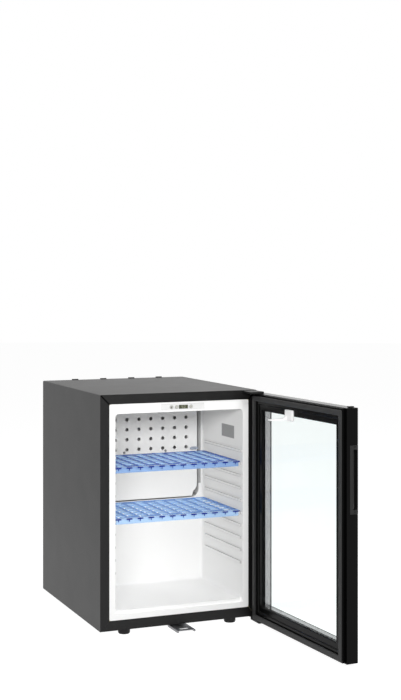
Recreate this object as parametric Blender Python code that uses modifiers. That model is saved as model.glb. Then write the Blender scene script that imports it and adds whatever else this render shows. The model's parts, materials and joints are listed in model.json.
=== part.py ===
"""Minibar fridge with a glazed door, 403 mm wide, cooled by a silent absorption unit.

The model is in metres, +Z up. X is 0 in the middle of the cabinet, Y is 0 halfway between
its front and its back, and Z is 0 at its underside, so the feet reach below zero.
The front looks along -Y. The door is drawn closed and then opened about its hinge.
"""

import math

import bmesh
import bpy
from mathutils import Vector

# Driving dimensions: the cabinet
WIDTH = 0.403
HEIGHT = 0.550
DEPTH = 0.463
SHEET = 0.001             # painted steel of the wrapper
SEAM = 0.0003             # gap between pieces that touch
CORNER_RADIUS = 0.003     # long edges of the wrapper
WRAPPER_FLANGE = 0.012    # the wrapper's sides turned in under the base
RAIL_THICKNESS = 0.0012
RAIL_SIDE = 0.0225        # width of the flat front band at the sides
RAIL_TOP = 0.0225
RAIL_BOTTOM = 0.0235      # Driving dimensions: the white lining and the cold compartment
MITRE_GROOVE = 0.0008     # width of the open mitres at the upper corners
LINER_WALL = 0.0015
LINER_FRONT = 0.0003      # the lining's front face lies this far behind the band
SIDE_WALL = 0.0405        # from the cabinet's side to the inside of the lining, at the back
CAVITY_DRAFT = 0.0030     # how much further out each side wall stands at the front
CAVITY_DEPTH = 0.237
FLOOR_Z = 0.044
CEILING_DROP = 0.0255     # from the cabinet's top down to the ceiling inside
SILL_STEP_DEPTH = 0.008   # the sill rises in two steps
SILL_STEP_Z = 0.036
CAVITY_RADIUS = 0.008     # round edges of the moulded tub
SILL_RADIUS = 0.002
LINER_CORNER = 0.004      # round corners of the lining's front flange
MOUTH_SPACE = 0.020       # the cuts of the inside start this far in front of it
RIB_TOP_Z = 0.1340        # top of the lowest shelf rib
RIB_PITCH = 0.030
RIB_LEVELS = 10
RIB_HEIGHT = 0.007
RIB_REACH = 0.004
RIB_FRONT = 0.008         # from the cabinet's front to the ribs' front ends
RIB_BACK_GAP = 0.018      # from the ribs' rear ends to the rear wall
BAY_MARGIN = 0.006        # how far the recess goes past the cover at its top and sides
BAY_MARGIN_LOW = 0.004    # and at its bottom
BAY_DEPTH = 0.047         # recess in the rear wall for the cooling plate
BAY_CORNER = 0.022        # round lower corners of the recess
FOAM_BEHIND_BAY = 0.026   # insulation behind the recess
BACK_SHEET = 0.001

# Driving dimensions: the perforated cover and the cooling plate
COVER_SIDE_GAP = 0.017    # from the cover's edges to the side walls
COVER_TOP_DROP = 0.0245   # from the ceiling down to the cover's top
COVER_HEIGHT = 0.240
COVER_THICKNESS = 0.0015
COVER_INSET = 0.001       # the cover stands this far forward of the rear wall
COVER_CORNER = 0.030      # height of the cut-back lower corners
COVER_HOLE_RADIUS = 0.0047
COVER_ROWS = 5
COVER_HOLE_MARGIN = 0.025  # least distance of the holes from the cover's sides
COVER_COLUMN_PITCH = 0.0325
COVER_ROW_PITCH = 0.0254
COVER_HOLES_DROP = 0.0114  # from the cover's top to the middle of the highest row
COVER_SCREW_X = 0.0562
COVER_SCREW_DROP = 0.0070  # from the lowest row of holes down to the screws
PLATE_SIDE_MARGIN = 0.024  # from the cover's edges in to the cooling plate
PLATE_TOP_MARGIN = 0.015
PLATE_LOW_MARGIN = 0.025
PLATE_TO_BAY = 0.017      # from the plate back to the rear of the recess
PLATE_THICKNESS = 0.002
FIN_COUNT = 11
FIN_THICKNESS = 0.0014
FIN_DEPTH = 0.020
POST_RADIUS = 0.004
SCREW_RADIUS = 0.0015
SCREW_LENGTH = 0.009
SCREW_HEAD_RADIUS = 0.0032

# Driving dimensions: the control housing
HOUSING_DEPTH = 0.048
HOUSING_HEIGHT = 0.020    # from the ceiling down to the housing's underside
HOUSING_WALL = 0.002
HOUSING_FILLET = 0.008
LENS_LEFT = -0.048
LENS_RIGHT = 0.062
LENS_HEIGHT = 0.0150
LENS_THICKNESS = 0.0016
LENS_CORNER = 0.001
LENS_REST = 0.004         # the ledge round the window that the lens rests on, at its ends
LENS_REST_LOW = 0.0015    # and above and below
BOARD_INSET = 0.006       # from the lens's ends to the circuit board's
BOARD_THICKNESS = 0.0016
BOARD_GAP = 0.0035        # from the buttons' ends, fully pressed, to the board
LEDGE_INSET = 0.012
LEDGE_WIDTH = 0.008
CONTROL_RISE = 0.0110     # from the housing's underside up to the middle of the controls
DISPLAY_X = 0.0080
DISPLAY_WIDTH = 0.023
DISPLAY_HEIGHT = 0.0085
BUTTON_RADIUS = 0.0034
BUTTON_CLEARANCE = 0.0003
BUTTON_PROUD = 0.0006
BUTTON_LENGTH = 0.0075
BUTTON_TRAVEL = 0.0008
BUTTON_PLACES = (("button_set", -0.0226), ("button_down", -0.0098), ("button_up", 0.0275))
LAMP_WIDTH = 0.080
LAMP_DEPTH = 0.016
LAMP_FROM_FRONT = 0.020

# Driving dimensions: the shelves
SHELF_SIDE_CLEARANCE = 0.0010
SHELF_FRONT = 0.014
SHELF_BACK_GAP = 0.0085   # from the shelf's rear edge to the cover
SHELF_THICKNESS = 0.0025
SHELF_LIP = 0.013
SHELF_LIP_THICKNESS = 0.002
SHELF_BAR_PITCH = 0.0275
SHELF_SLOT_WIDTH = 0.0185
SHELF_SLOT_LENGTH = 0.0215
SHELF_SIDE_BAND = 0.008   # least solid band at the sides
SHELF_END_BAND = 0.005    # least solid band at the front and the back
SHELF_SLOT_PITCH = 0.0272
SHELF_STEM = 0.0070       # depth of the stem under each bar
SHELF_STEM_THICKNESS = 0.002
SHELVES = (("upper_shelf", 8), ("lower_shelf", 4))   # the rib, counted from the lowest, that holds it

# Driving dimensions: the door
OPEN_ANGLE = 92.7         # degrees, as the door stands in the photograph
DOOR_GAP = 0.0008         # closed, between the gasket and the cabinet's front
DOOR_OVERHANG = 0.002     # the door is this much wider than the cabinet on each side
DOOR_THICKNESS = 0.041
DOOR_BOTTOM_Z = -0.005    # the door reaches a little below the cabinet
DOOR_TOP_DROP = 0.0070    # from the cabinet's top down to the door's
DOOR_FRAME_BACK = 0.0115  # the outer frame starts this far out from the gasket's face
DOOR_FRAME_BAR = 0.0297
DOOR_LIP = 0.0023         # the frame's front lip over the edge of the outer pane
DOOR_CHAMFER = 0.002
PANE_THICKNESS = 0.0037
INNER_PANE_BACK = 0.0148
OUTER_PANE_RECESS = 0.0013  # from the door's front to the outer pane's
SPACER_WIDTH = 0.009
INNER_FRAME_INSET = 0.008
INNER_FRAME_REACH = 0.007 # how much further it goes at the top and bottom
INNER_FRAME_STEP = 0.024
INNER_FRAME_EDGE = 0.0395
INNER_FRAME_TOP = 0.0055
INNER_FRAME_LOW = 0.0085
GASKET_OUTSIDE = 0.005
GASKET_WIDTH = 0.012
HINGE_FROM_SIDE = 0.0040  # hinge axis, in from the cabinet's side
HINGE_FROM_FACE = 0.0178  # hinge axis, out from the gasket's face
PIN_RADIUS = 0.0025
PIN_LENGTH = 0.0115
PIN_CLEARANCE = 0.00025
BUSH_RADIUS = 0.0040
BUSH_LENGTH = 0.0125
GRIP_DROP = 0.0795        # from the door's top down to the grip
GRIP_HEIGHT = 0.150
GRIP_BACK = 0.0195        # the grip starts this far out from the gasket's face
GRIP_DEPTH = 0.0175       # into the free edge of the door
GRIP_END = 0.010          # solid ends with a screw each
SCOOP_BACK = 0.0265
SCOOP_EDGE = 0.0022       # from the door's front to the scoop
SCOOP_DEPTH = 0.0140
ARM_BLOCK_X = 0.029       # middle of the block, with the door closed
ARM_BLOCK_WIDTH = 0.036
ARM_BLOCK_DROP = 0.0245   # from the door's top down to the block
ARM_BLOCK_HEIGHT = 0.026
ARM_BLOCK_THICKNESS = 0.006
ARM_REACH = 0.044
ARM_WEB = 0.007           # height of the web at the arm's root
ARM_HEIGHT = 0.0045
ARM_WIDTH = 0.010
PLUG_LENGTH = 0.010
PLUG_WIDTH = 0.013
PLUG_HEIGHT = 0.0033

# Driving dimensions: hinge brackets, feet and lock plate
BRACKET_WIDTH = 0.037
BRACKET_THICKNESS = 0.0034
BRACKET_TAIL = 0.036      # length of the bracket's plate inside the cabinet
BRACKET_CAP_THICKNESS = 0.0055
BRACKET_REACH = 0.024     # forward of the hinge axis
LOWER_BRACKET_THICKNESS = 0.003
LOWER_BRACKET_WIDTH = 0.0155
FOOT_RADIUS = 0.0143
FOOT_HEIGHT = 0.012
FOOT_STEM_RADIUS = 0.004
FOOT_STEM_LENGTH = 0.020
FOOT_FROM_SIDE = 0.0650
FOOT_FROM_FRONT = 0.017
FOOT_FROM_BACK = 0.030
FOOT_CLEARANCE = 0.0004
LOCK_WIDTH = 0.044
LOCK_SHEET = 0.0016
LOCK_REACH = 0.040        # forward of the cabinet's front
LOCK_LEDGE = 0.028        # how far back it runs low under the cabinet, before it steps up to the base
LOCK_TAIL = 0.052         # back under the base
LOCK_FLANGE = 0.0040      # Driving dimensions: the base and the cooling unit in the open back
LOCK_SLOT = 0.009         # the slot for the tongue of a lock, from front to back
PAN_SHEET = 0.0012
PAN_PANEL_WIDTH = 0.240   # the panel pressed down into the underside
PAN_PANEL_FRONT = 0.070
PAN_PANEL_BACK = 0.285
PAN_SLOT_LENGTH = 0.240
PAN_SLOT_WIDTH = 0.012
PAN_SLOTS = 4
EVAPORATOR_TUBE_RADIUS = 0.0065
EVAPORATOR_TOP_MARGIN = 0.030  # from the cooling plate's top down to the tube
EVAPORATOR_LOW_MARGIN = 0.050
EVAPORATOR_RIGHT_MARGIN = 0.050  # from the cooling plate's right edge in to the tube
EVAPORATOR_LEFT_MARGIN = 0.030
UNIT_SHARE = 0.55         # how far back in the open space the unit stands, as a share of it
BOILER_FROM_SIDE = 0.0715  # from the cabinet's right side to the boiler's axis
BOILER_SIDE = 0.060
BOILER_BOTTOM_Z = 0.045
BOILER_TOP_DROP = 0.065   # from the condenser's axis down to the boiler's top
CONDENSER_DROP = 0.055    # from the cabinet's top down to the condenser's axis
CONDENSER_FROM_SIDE = 0.0615  # from the left side to where its tube turns down
CONDENSER_TUBE_RADIUS = 0.007
CONDENSER_FIN_SIDE = 0.060
CONDENSER_COLLAR = 0.001  # wall of the fins' collars
CONDENSER_FIN_THICKNESS = 0.0008
CONDENSER_FIN_COUNT = 13
CONDENSER_FIN_PITCH = 0.0150
GAS_PIPE_RADIUS = 0.011
GAS_PIPE_BEND = 0.020
VESSEL_RADIUS = 0.030
VESSEL_Z = 0.072
VESSEL_FROM_SIDE = 0.0415  # from the left side
VESSEL_TO_BOILER = 0.012
COIL_RADIUS = 0.008
COIL_FROM_SIDE = 0.0615
COIL_TO_PIPE = 0.050      # from the coil's right ends to the gas pipe
COIL_PASSES = 4           # upright ends, one more than there are sloping passes
COIL_FALL = 0.012
COIL_START = 0.035        # height of the first pass above the vessel
COIL_END_DROP = 0.027     # from the evaporator down to the end of the coil
COIL_BEND = 0.014
CONTROL_BOX_WIDTH = 0.070
CONTROL_BOX_HEIGHT = 0.060
CONTROL_BOX_DEPTH = 0.036
CONTROL_BOX_FROM_SIDE = 0.0715
CONTROL_BOX_DROP = 0.070  # from the evaporator down to the middle of the box
GLAND_RADIUS = 0.007
BRACKET_SHEET = 0.002     # sheet of the two brackets behind the unit
BRACKET_ARM = 0.003       # thickness of their arms
CRADLE_ARMS_X = (-0.090, 0.030)
CRADLE_SIDE = 0.010       # the cradle's sheet past its arms
CRADLE_LOW = 0.045        # below the vessel's axis
CRADLE_HIGH = 0.030       # above it
CRADLE_LIP = 0.020        # behind the vessel's axis
CRADLE_LIP_DROP = 0.0235
SPACER_WIDTH_X = 0.070    # the bracket behind the boiler
SPACER_END = 0.052        # from the boiler's ends in to it
SPACER_ARM_WIDTH = 0.040
SPACER_ARM_END = 0.020
VENT_HEIGHT = 0.043       # from the cabinet's top down to the strip's lower edge
VENT_THICKNESS = 0.004
VENT_SLOTS = 12
VENT_SLOT_WIDTH = 0.020
VENT_SLOT_MARGIN = 0.010  # from the strip's edges to its slots
VENT_HOOK_WIDTH = 0.016
VENT_HOOK_RISE = 0.0024
VENT_HOOK_REACH = 0.006   # forward over the top's edge
VENT_HOOK_DEPTH = 0.004
VENT_HOOKS_X = (-0.1125, -0.0330, 0.0475, 0.1280)
CROSS_BAR_HEIGHT = 0.030
CROSS_BAR_DEPTH = 0.012
CROSS_BAR_INSET = 0.0025  # from the cabinet's back

# Places worked out from the driving dimensions
FRONT = -DEPTH / 2
BACK = DEPTH / 2
HALF = WIDTH / 2
CAVITY_WIDTH = WIDTH - 2 * SIDE_WALL      # at the rear wall
CAVITY_X = CAVITY_WIDTH / 2
CEILING_Z = HEIGHT - CEILING_DROP
HOUSING_BOTTOM_Z = CEILING_Z - HOUSING_HEIGHT
CONTROL_Z = HOUSING_BOTTOM_Z + CONTROL_RISE
RIB_LENGTH = CAVITY_DEPTH - RIB_BACK_GAP - RIB_FRONT
COVER_WIDTH = CAVITY_WIDTH - 2 * COVER_SIDE_GAP
COVER_TOP_Z = CEILING_Z - COVER_TOP_DROP
COVER_BOTTOM_Z = COVER_TOP_Z - COVER_HEIGHT
COVER_FACE = CAVITY_DEPTH - COVER_INSET - COVER_THICKNESS
COVER_COLUMNS = int((COVER_WIDTH - 2 * COVER_HOLE_MARGIN) / COVER_COLUMN_PITCH) + 1
COVER_LOWEST_ROW_Z = COVER_TOP_Z - COVER_HOLES_DROP - (COVER_ROWS - 1) * COVER_ROW_PITCH
COVER_SCREW_Z = COVER_LOWEST_ROW_Z - COVER_SCREW_DROP
BAY_WIDTH = COVER_WIDTH + 2 * BAY_MARGIN
BAY_TOP_Z = COVER_TOP_Z + BAY_MARGIN
BAY_BOTTOM_Z = COVER_BOTTOM_Z - BAY_MARGIN_LOW
FOAM_BACK = CAVITY_DEPTH + BAY_DEPTH + FOAM_BEHIND_BAY   # from the front to the back of the insulation
PLATE_WIDTH = COVER_WIDTH - 2 * PLATE_SIDE_MARGIN
PLATE_BOTTOM_Z = COVER_BOTTOM_Z + PLATE_LOW_MARGIN
PLATE_TOP_Z = COVER_TOP_Z - PLATE_TOP_MARGIN
PLATE_BACK = CAVITY_DEPTH + BAY_DEPTH - PLATE_TO_BAY
SHELF_BACK = COVER_FACE - SHELF_BACK_GAP
EVAPORATOR_TUBE_Y = PLATE_BACK + SEAM + EVAPORATOR_TUBE_RADIUS
EVAPORATOR_TOP_Z = PLATE_TOP_Z - EVAPORATOR_TOP_MARGIN
EVAPORATOR_LOW_Z = PLATE_BOTTOM_Z + EVAPORATOR_LOW_MARGIN
EVAPORATOR_X = PLATE_WIDTH / 2 - EVAPORATOR_RIGHT_MARGIN
EVAPORATOR_LEFT_X = -PLATE_WIDTH / 2 + EVAPORATOR_LEFT_MARGIN
BOILER_X = HALF - BOILER_FROM_SIDE
CONDENSER_LEFT_X = -HALF + CONDENSER_FROM_SIDE
VESSEL_LEFT_X = -HALF + VESSEL_FROM_SIDE
VESSEL_RIGHT_X = BOILER_X - BOILER_SIDE / 2 - VESSEL_TO_BOILER
COIL_LEFT_X = -HALF + COIL_FROM_SIDE
COIL_RIGHT_X = EVAPORATOR_X - COIL_TO_PIPE
CONTROL_BOX_X = -HALF + CONTROL_BOX_FROM_SIDE
UNIT_Y = FOAM_BACK + UNIT_SHARE * (DEPTH - FOAM_BACK)   # plane of the vessel, the coil and the condenser
CONDENSER_Z = HEIGHT - CONDENSER_DROP
BOILER_TOP_Z = CONDENSER_Z - BOILER_TOP_DROP
CONTROL_BOX_Z = EVAPORATOR_TOP_Z - CONTROL_BOX_DROP
VENT_BOTTOM_Z = HEIGHT - VENT_HEIGHT
DOOR_TOP_Z = HEIGHT - DOOR_TOP_DROP
OUTER_PANE_FRONT = DOOR_THICKNESS - OUTER_PANE_RECESS
SCOOP_FRONT = DOOR_THICKNESS - SCOOP_EDGE
GRIP_TOP_Z = DOOR_TOP_Z - GRIP_DROP
GRIP_BOTTOM_Z = GRIP_TOP_Z - GRIP_HEIGHT
ARM_BLOCK_TOP_Z = DOOR_TOP_Z - ARM_BLOCK_DROP
ARM_BLOCK_BOTTOM_Z = ARM_BLOCK_TOP_Z - ARM_BLOCK_HEIGHT
FOOT_FROM_MIDDLE = WIDTH / 2 - FOOT_FROM_SIDE
LOCK_TOP_Z = DOOR_BOTTOM_Z - 2 * SEAM   # the lock plate passes under the closed door
DOOR_FACE = FRONT - DOOR_GAP          # the gasket's face, door closed
HINGE = Vector((HALF - HINGE_FROM_SIDE, DOOR_FACE - HINGE_FROM_FACE, 0.0))
FOAM_REAR = FRONT + FOAM_BACK
BACK_SHEET_REAR = FOAM_REAR + SEAM + BACK_SHEET
PAN_BOTTOM = SHEET + SEAM
PAN_TOP = PAN_BOTTOM + PAN_SHEET
DOOR_HALF = HALF + DOOR_OVERHANG

# Materials: colour, roughness, metallic, alpha
FINISHES = {
    "black_paint": ((0.022, 0.022, 0.023), 0.45, 0.0, 1.0),
    "black_plastic": ((0.010, 0.010, 0.011), 0.40, 0.0, 1.0),
    "galvanised": ((0.45, 0.46, 0.47), 0.45, 0.9, 1.0),
    "white_plastic": ((0.86, 0.86, 0.85), 0.35, 0.0, 1.0),
    "foam": ((0.78, 0.70, 0.48), 0.90, 0.0, 1.0),
    "aluminium": ((0.72, 0.73, 0.74), 0.35, 1.0, 1.0),
    "unit_paint": ((0.030, 0.030, 0.032), 0.55, 0.0, 1.0),
    "lens": ((0.80, 0.81, 0.80), 0.25, 0.0, 1.0),
    "display": ((0.06, 0.06, 0.03), 0.20, 0.0, 1.0),
    "circuit_board": ((0.03, 0.16, 0.07), 0.50, 0.0, 1.0),
    "blue_plastic": ((0.16, 0.34, 0.75), 0.20, 0.0, 0.7),
    "clear_glass": ((0.92, 0.99, 0.98), 0.03, 0.0, 0.3),
    "spacer_metal": ((0.62, 0.62, 0.61), 0.35, 1.0, 1.0),
    "gasket_rubber": ((0.015, 0.015, 0.016), 0.70, 0.0, 1.0),
    "zinc": ((0.55, 0.55, 0.56), 0.35, 1.0, 1.0),
    "foot_rubber": ((0.020, 0.020, 0.020), 0.75, 0.0, 1.0),
}


def start_scene():
    """Empties the scene and makes a collection for the pieces and one for the cutters."""
    for old in list(bpy.data.objects):
        bpy.data.objects.remove(old, do_unlink=True)
    made = []
    for name in ("minibar_fridge", "cutters"):
        collection = bpy.data.collections.new(name)
        bpy.context.scene.collection.children.link(collection)
        made.append(collection)
    return made


def make_material(name):
    """A Principled material from the table of finishes."""
    colour, roughness, metallic, alpha = FINISHES[name]
    material = bpy.data.materials.new(name)
    material.use_nodes = True
    shader = material.node_tree.nodes["Principled BSDF"]
    shader.inputs["Base Color"].default_value = (*colour, 1.0)
    shader.inputs["Roughness"].default_value = roughness
    shader.inputs["Metallic"].default_value = metallic
    shader.inputs["Alpha"].default_value = alpha
    return material


PARTS, CUTTERS = start_scene()
MATERIALS = {name: make_material(name) for name in FINISHES}


def put(name, data, finish, at=(0, 0, 0), parent=None):
    """Adds a piece, or a cutter where finish is None, at a place given in the cabinet's frame."""
    piece = bpy.data.objects.new(name, data)
    if finish is None:
        CUTTERS.objects.link(piece)
        piece.hide_render = True
        piece.display_type = "WIRE"
    else:
        PARTS.objects.link(piece)
        if data is not None:
            data.materials.append(MATERIALS[finish])
    piece.location = Vector(at)
    if parent is not None:
        piece.parent = parent
        piece.location = Vector(at) - parent.location
    return piece


def mesh_of(bm, name, smooth=False):
    """Turns a bmesh into mesh data, shaded smooth with sharp edges where asked."""
    data = bpy.data.meshes.new(name)
    bm.to_mesh(data)
    bm.free()
    if smooth:
        data.shade_smooth()
        data.set_sharp_from_angle(angle=math.radians(35))
    return data


def block(name, low, high, finish, parent=None, bevel=0.0, segments=2):
    """A box between two corners, with its edges rounded where a bevel is given."""
    low, high = Vector(low), Vector(high)
    bm = bmesh.new()
    bmesh.ops.create_cube(bm, size=1.0)
    bmesh.ops.scale(bm, vec=high - low, verts=bm.verts)
    piece = put(name, mesh_of(bm, name), finish, (low + high) / 2, parent)
    if bevel:
        rounding = piece.modifiers.new("edges", "BEVEL")
        rounding.width = bevel
        rounding.segments = segments
        rounding.limit_method = "ANGLE"
    return piece


def softened_block(name, low, high, finish, radius, soft, segments=3):
    """A box with only some edges rounded: soft(a, b) says it of an edge's ends, as -1 or 1 on each axis."""
    low, high = Vector(low), Vector(high)
    bm = bmesh.new()
    bmesh.ops.create_cube(bm, size=2.0)
    chosen = [edge for edge in bm.edges if soft(edge.verts[0].co, edge.verts[1].co)]
    bmesh.ops.scale(bm, vec=(high - low) / 2, verts=bm.verts)
    bmesh.ops.bevel(bm, geom=chosen, offset=radius, segments=segments, profile=0.5, affect="EDGES")
    return put(name, mesh_of(bm, name), finish, (low + high) / 2)


def rod(name, radius, start, end, finish, parent=None, sides=24):
    """A round bar between two points that lie along X, Y or Z."""
    start, end = Vector(start), Vector(end)
    along = end - start
    bm = bmesh.new()
    bmesh.ops.create_cone(
        bm, cap_ends=True, segments=sides, radius1=radius, radius2=radius, depth=along.length
    )
    piece = put(name, mesh_of(bm, name, smooth=True), finish, (start + end) / 2, parent)
    piece.rotation_euler = along.to_track_quat("Z", "Y").to_euler()
    return piece


def as_mesh(curve, name, finish, weld=0.00001):
    """Makes a curve a mesh with its caps welded, in the same place and under the same parent."""
    bpy.context.view_layer.update()
    seen = curve.evaluated_get(bpy.context.evaluated_depsgraph_get())
    data = bpy.data.meshes.new_from_object(seen)
    bm = bmesh.new()
    bm.from_mesh(data)
    bmesh.ops.remove_doubles(bm, verts=bm.verts, dist=weld)
    bmesh.ops.recalc_face_normals(bm, faces=bm.faces)
    bm.to_mesh(data)
    bm.free()
    data.materials.clear()
    piece = put(name, data, finish)
    piece.parent = curve.parent
    piece.location = curve.location
    piece.rotation_euler = curve.rotation_euler
    piece.data.shade_smooth()
    piece.data.set_sharp_from_angle(angle=math.radians(35))
    bpy.data.objects.remove(curve, do_unlink=True)
    return piece


FACING = {
    "X": (math.radians(90), 0.0, math.radians(90)),   # outline in (y, z)
    "Y": (math.radians(90), 0.0, 0.0),                # outline in (x, z)
    "Z": (0.0, 0.0, 0.0),                             # outline in (x, y)
}


def prism(name, loop, axis, low, high, finish, parent=None):
    """A flat outline without holes, drawn out from low to high along axis."""
    order = {"X": (2, 0, 1), "Y": (0, 2, 1), "Z": (0, 1, 2)}[axis]

    def place(u, v, w):
        return tuple((u, v, w)[k] for k in order)

    bm = bmesh.new()
    middle = Vector(place(0.0, 0.0, (low + high) / 2))
    half = (high - low) / 2
    ends = [[bm.verts.new(place(u, v, end)) for u, v in loop] for end in (-half, half)]
    bm.faces.new(ends[0])
    bm.faces.new(ends[1][::-1])
    for k in range(len(loop)):
        bm.faces.new((ends[0][k - 1], ends[0][k], ends[1][k], ends[1][k - 1]))
    bmesh.ops.recalc_face_normals(bm, faces=bm.faces)
    if parent is not None:
        # the outline is given in the cabinet's frame, so it is moved by the parent's place
        piece = put(name, mesh_of(bm, name, smooth=True), finish)
        piece.parent = parent
        piece.location = middle - parent.location
        return piece
    return put(name, mesh_of(bm, name, smooth=True), finish, middle)


def flat_piece(name, outlines, axis, low, high, finish, parent=None):
    """A flat outline, with holes where more loops are given, as thick as from low to high along axis."""
    if len(outlines) == 1:
        return prism(name, outlines[0], axis, low, high, finish, parent)
    data = bpy.data.curves.new(name, "CURVE")
    data.dimensions = "2D"
    data.fill_mode = "BOTH"
    data.extrude = (high - low) / 2
    for loop in outlines:
        spline = data.splines.new("POLY")
        spline.points.add(len(loop) - 1)
        for point, (u, v) in zip(spline.points, loop):
            point.co = (u, v, 0.0, 1.0)
        spline.use_cyclic_u = True
    middle = Vector((0.0, 0.0, 0.0))
    middle["XYZ".index(axis)] = (low + high) / 2
    curve = put(f"{name}_outline", data, "zinc", middle)
    if parent is not None:
        # the outline is given in the cabinet's frame, so it is moved by the parent's place
        curve.parent = parent
        curve.location = middle - parent.location
    curve.rotation_euler = FACING[axis]
    return as_mesh(curve, name, finish)


def tube(name, points, radius, finish, sides=2):
    """A round tube along a list of points, with closed ends."""
    data = bpy.data.curves.new(name, "CURVE")
    data.dimensions = "3D"
    data.bevel_depth = radius
    data.bevel_resolution = sides
    data.use_fill_caps = True
    spline = data.splines.new("POLY")
    spline.points.add(len(points) - 1)
    for point, place in zip(spline.points, points):
        point.co = (*place, 1.0)
    return as_mesh(put(f"{name}_path", data, "zinc"), name, finish)


def bent_path(corners, radius, steps=5):
    """The corners of a bent pipe with each bend drawn as an arc of the given radius."""
    corners = [Vector(c) for c in corners]
    path = [corners[0]]
    for before, corner, after in zip(corners, corners[1:], corners[2:]):
        arriving = (corner - before).normalized()
        leaving = (after - corner).normalized()
        turn = arriving.angle(leaving)
        setback = radius * math.tan(turn / 2)
        first = corner - arriving * setback
        inward = (leaving - arriving * arriving.dot(leaving)).normalized()
        centre = first + inward * radius
        for step in range(steps + 1):
            angle = turn * step / steps
            path.append(centre - inward * radius * math.cos(angle) + arriving * radius * math.sin(angle))
    return path + [corners[-1]]


def arc(centre_u, centre_v, radius, start, end, steps=4):
    """Points on an arc, with its angles in degrees."""
    return [
        (
            centre_u + radius * math.cos(math.radians(start + (end - start) * k / steps)),
            centre_v + radius * math.sin(math.radians(start + (end - start) * k / steps)),
        )
        for k in range(steps + 1)
    ]


def circle(u, v, radius, sides=16):
    """A closed round loop."""
    return arc(u, v, radius, 0.0, 360.0 - 360.0 / sides, sides - 1)


def rectangle(left, right, low, high):
    """A closed loop of four corners."""
    return [(left, low), (right, low), (right, high), (left, high)]


def rounded_rectangle(left, right, low, high, radius, steps=3):
    """A closed loop with four round corners."""
    return (
        arc(right - radius, low + radius, radius, -90, 0, steps)
        + arc(right - radius, high - radius, radius, 0, 90, steps)
        + arc(left + radius, high - radius, radius, 90, 180, steps)
        + arc(left + radius, low + radius, radius, 180, 270, steps)
    )


def change(piece, tool, operation):
    """Cuts a piece with a tool, or joins the tool to it."""
    step = piece.modifiers.new(operation.lower(), "BOOLEAN")
    step.operation = operation
    step.solver = "EXACT"
    step.object = tool
    return piece


def cut(piece, tool):
    """Takes the tool's shape out of the piece."""
    return change(piece, tool, "DIFFERENCE")


def join(piece, tool):
    """Makes the tool's shape part of the piece."""
    return change(piece, tool, "UNION")


def turned(name, profile, at, finish, parent=None, sides=24):
    """A turned piece: a profile of (radius, height) points, from the top down, spun about Z."""
    bm = bmesh.new()
    points = [bm.verts.new((radius, 0.0, height)) for radius, height in profile]
    for upper, lower in zip(points, points[1:]):
        bm.edges.new((upper, lower))
    piece = put(name, mesh_of(bm, name), finish, at, parent)
    spin = piece.modifiers.new("turn", "SCREW")
    spin.steps = sides
    spin.render_steps = sides
    spin.use_merge_vertices = True
    spin.merge_threshold = 0.00001
    spin.use_smooth_shade = True
    return piece


def ring(name, profile, finish, parent, reach=0.0):
    """A frame round the door: a profile of (inset, depth) points carried round four mitred corners.

    Inset is measured in from the door's edge, and depth out from the gasket's face. With a reach,
    the profile's outer edge goes further out by that much at the top and bottom than at the sides.
    """
    bm = bmesh.new()
    loops = []
    for side, top in ((-1, False), (1, False), (1, True), (-1, True)):
        corner = []
        outermost = min(inset for inset, _ in profile)
        for inset, depth in profile:
            x = side * (DOOR_HALF - inset)
            end = inset - reach if inset == outermost else inset
            z = DOOR_TOP_Z - end if top else DOOR_BOTTOM_Z + end
            corner.append(bm.verts.new(Vector((x, DOOR_FACE - depth, z)) - parent.location))
        edges = [bm.edges.new((a, b)) for a, b in zip(corner, corner[1:] + corner[:1])]
        loops.append(edges)
    for first, second in zip(loops, loops[1:] + loops[:1]):
        bmesh.ops.bridge_loops(bm, edges=first + second)
    bmesh.ops.recalc_face_normals(bm, faces=bm.faces)
    return put(name, mesh_of(bm, name), finish, parent.location, parent)


def folded_sheet(name, path, low, high, thickness, finish):
    """A folded sheet: an open path in (x, z) drawn out along Y, then given its thickness inward."""
    bm = bmesh.new()
    points = [bm.verts.new((x, low, z)) for x, z in path]
    edges = [bm.edges.new((a, b)) for a, b in zip(points, points[1:])]
    drawn = bmesh.ops.extrude_edge_only(bm, edges=edges)
    moved = [v for v in drawn["geom"] if isinstance(v, bmesh.types.BMVert)]
    bmesh.ops.translate(bm, verts=moved, vec=(0.0, high - low, 0.0))
    bmesh.ops.recalc_face_normals(bm, faces=bm.faces)
    piece = put(name, mesh_of(bm, name), finish)
    wall = piece.modifiers.new("thickness", "SOLIDIFY")
    wall.thickness = thickness
    wall.use_even_offset = True
    # the path is the sheet's outside, so the thickness goes from it towards the path's middle
    first = piece.data.polygons[0]
    middle = Vector((sum(x for x, _ in path) / len(path), 0.0, sum(z for _, z in path) / len(path)))
    outward = first.center - middle
    outward.y = 0.0
    wall.offset = -1.0 if first.normal.dot(outward) > 0 else 1.0
    return piece


def flare(piece):
    """Widens a piece of the lining to the front, by the draft that lets a moulded tub leave its mould."""
    turn = piece.rotation_euler.to_matrix()
    for corner in piece.data.vertices:
        place = turn @ corner.co + piece.location
        outward = CAVITY_DRAFT * (FRONT + CAVITY_DEPTH - place.y) / CAVITY_DEPTH
        place.x += math.copysign(outward, place.x)
        corner.co = turn.transposed() @ (place - piece.location)
    return piece


# The cabinet's outside


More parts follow.
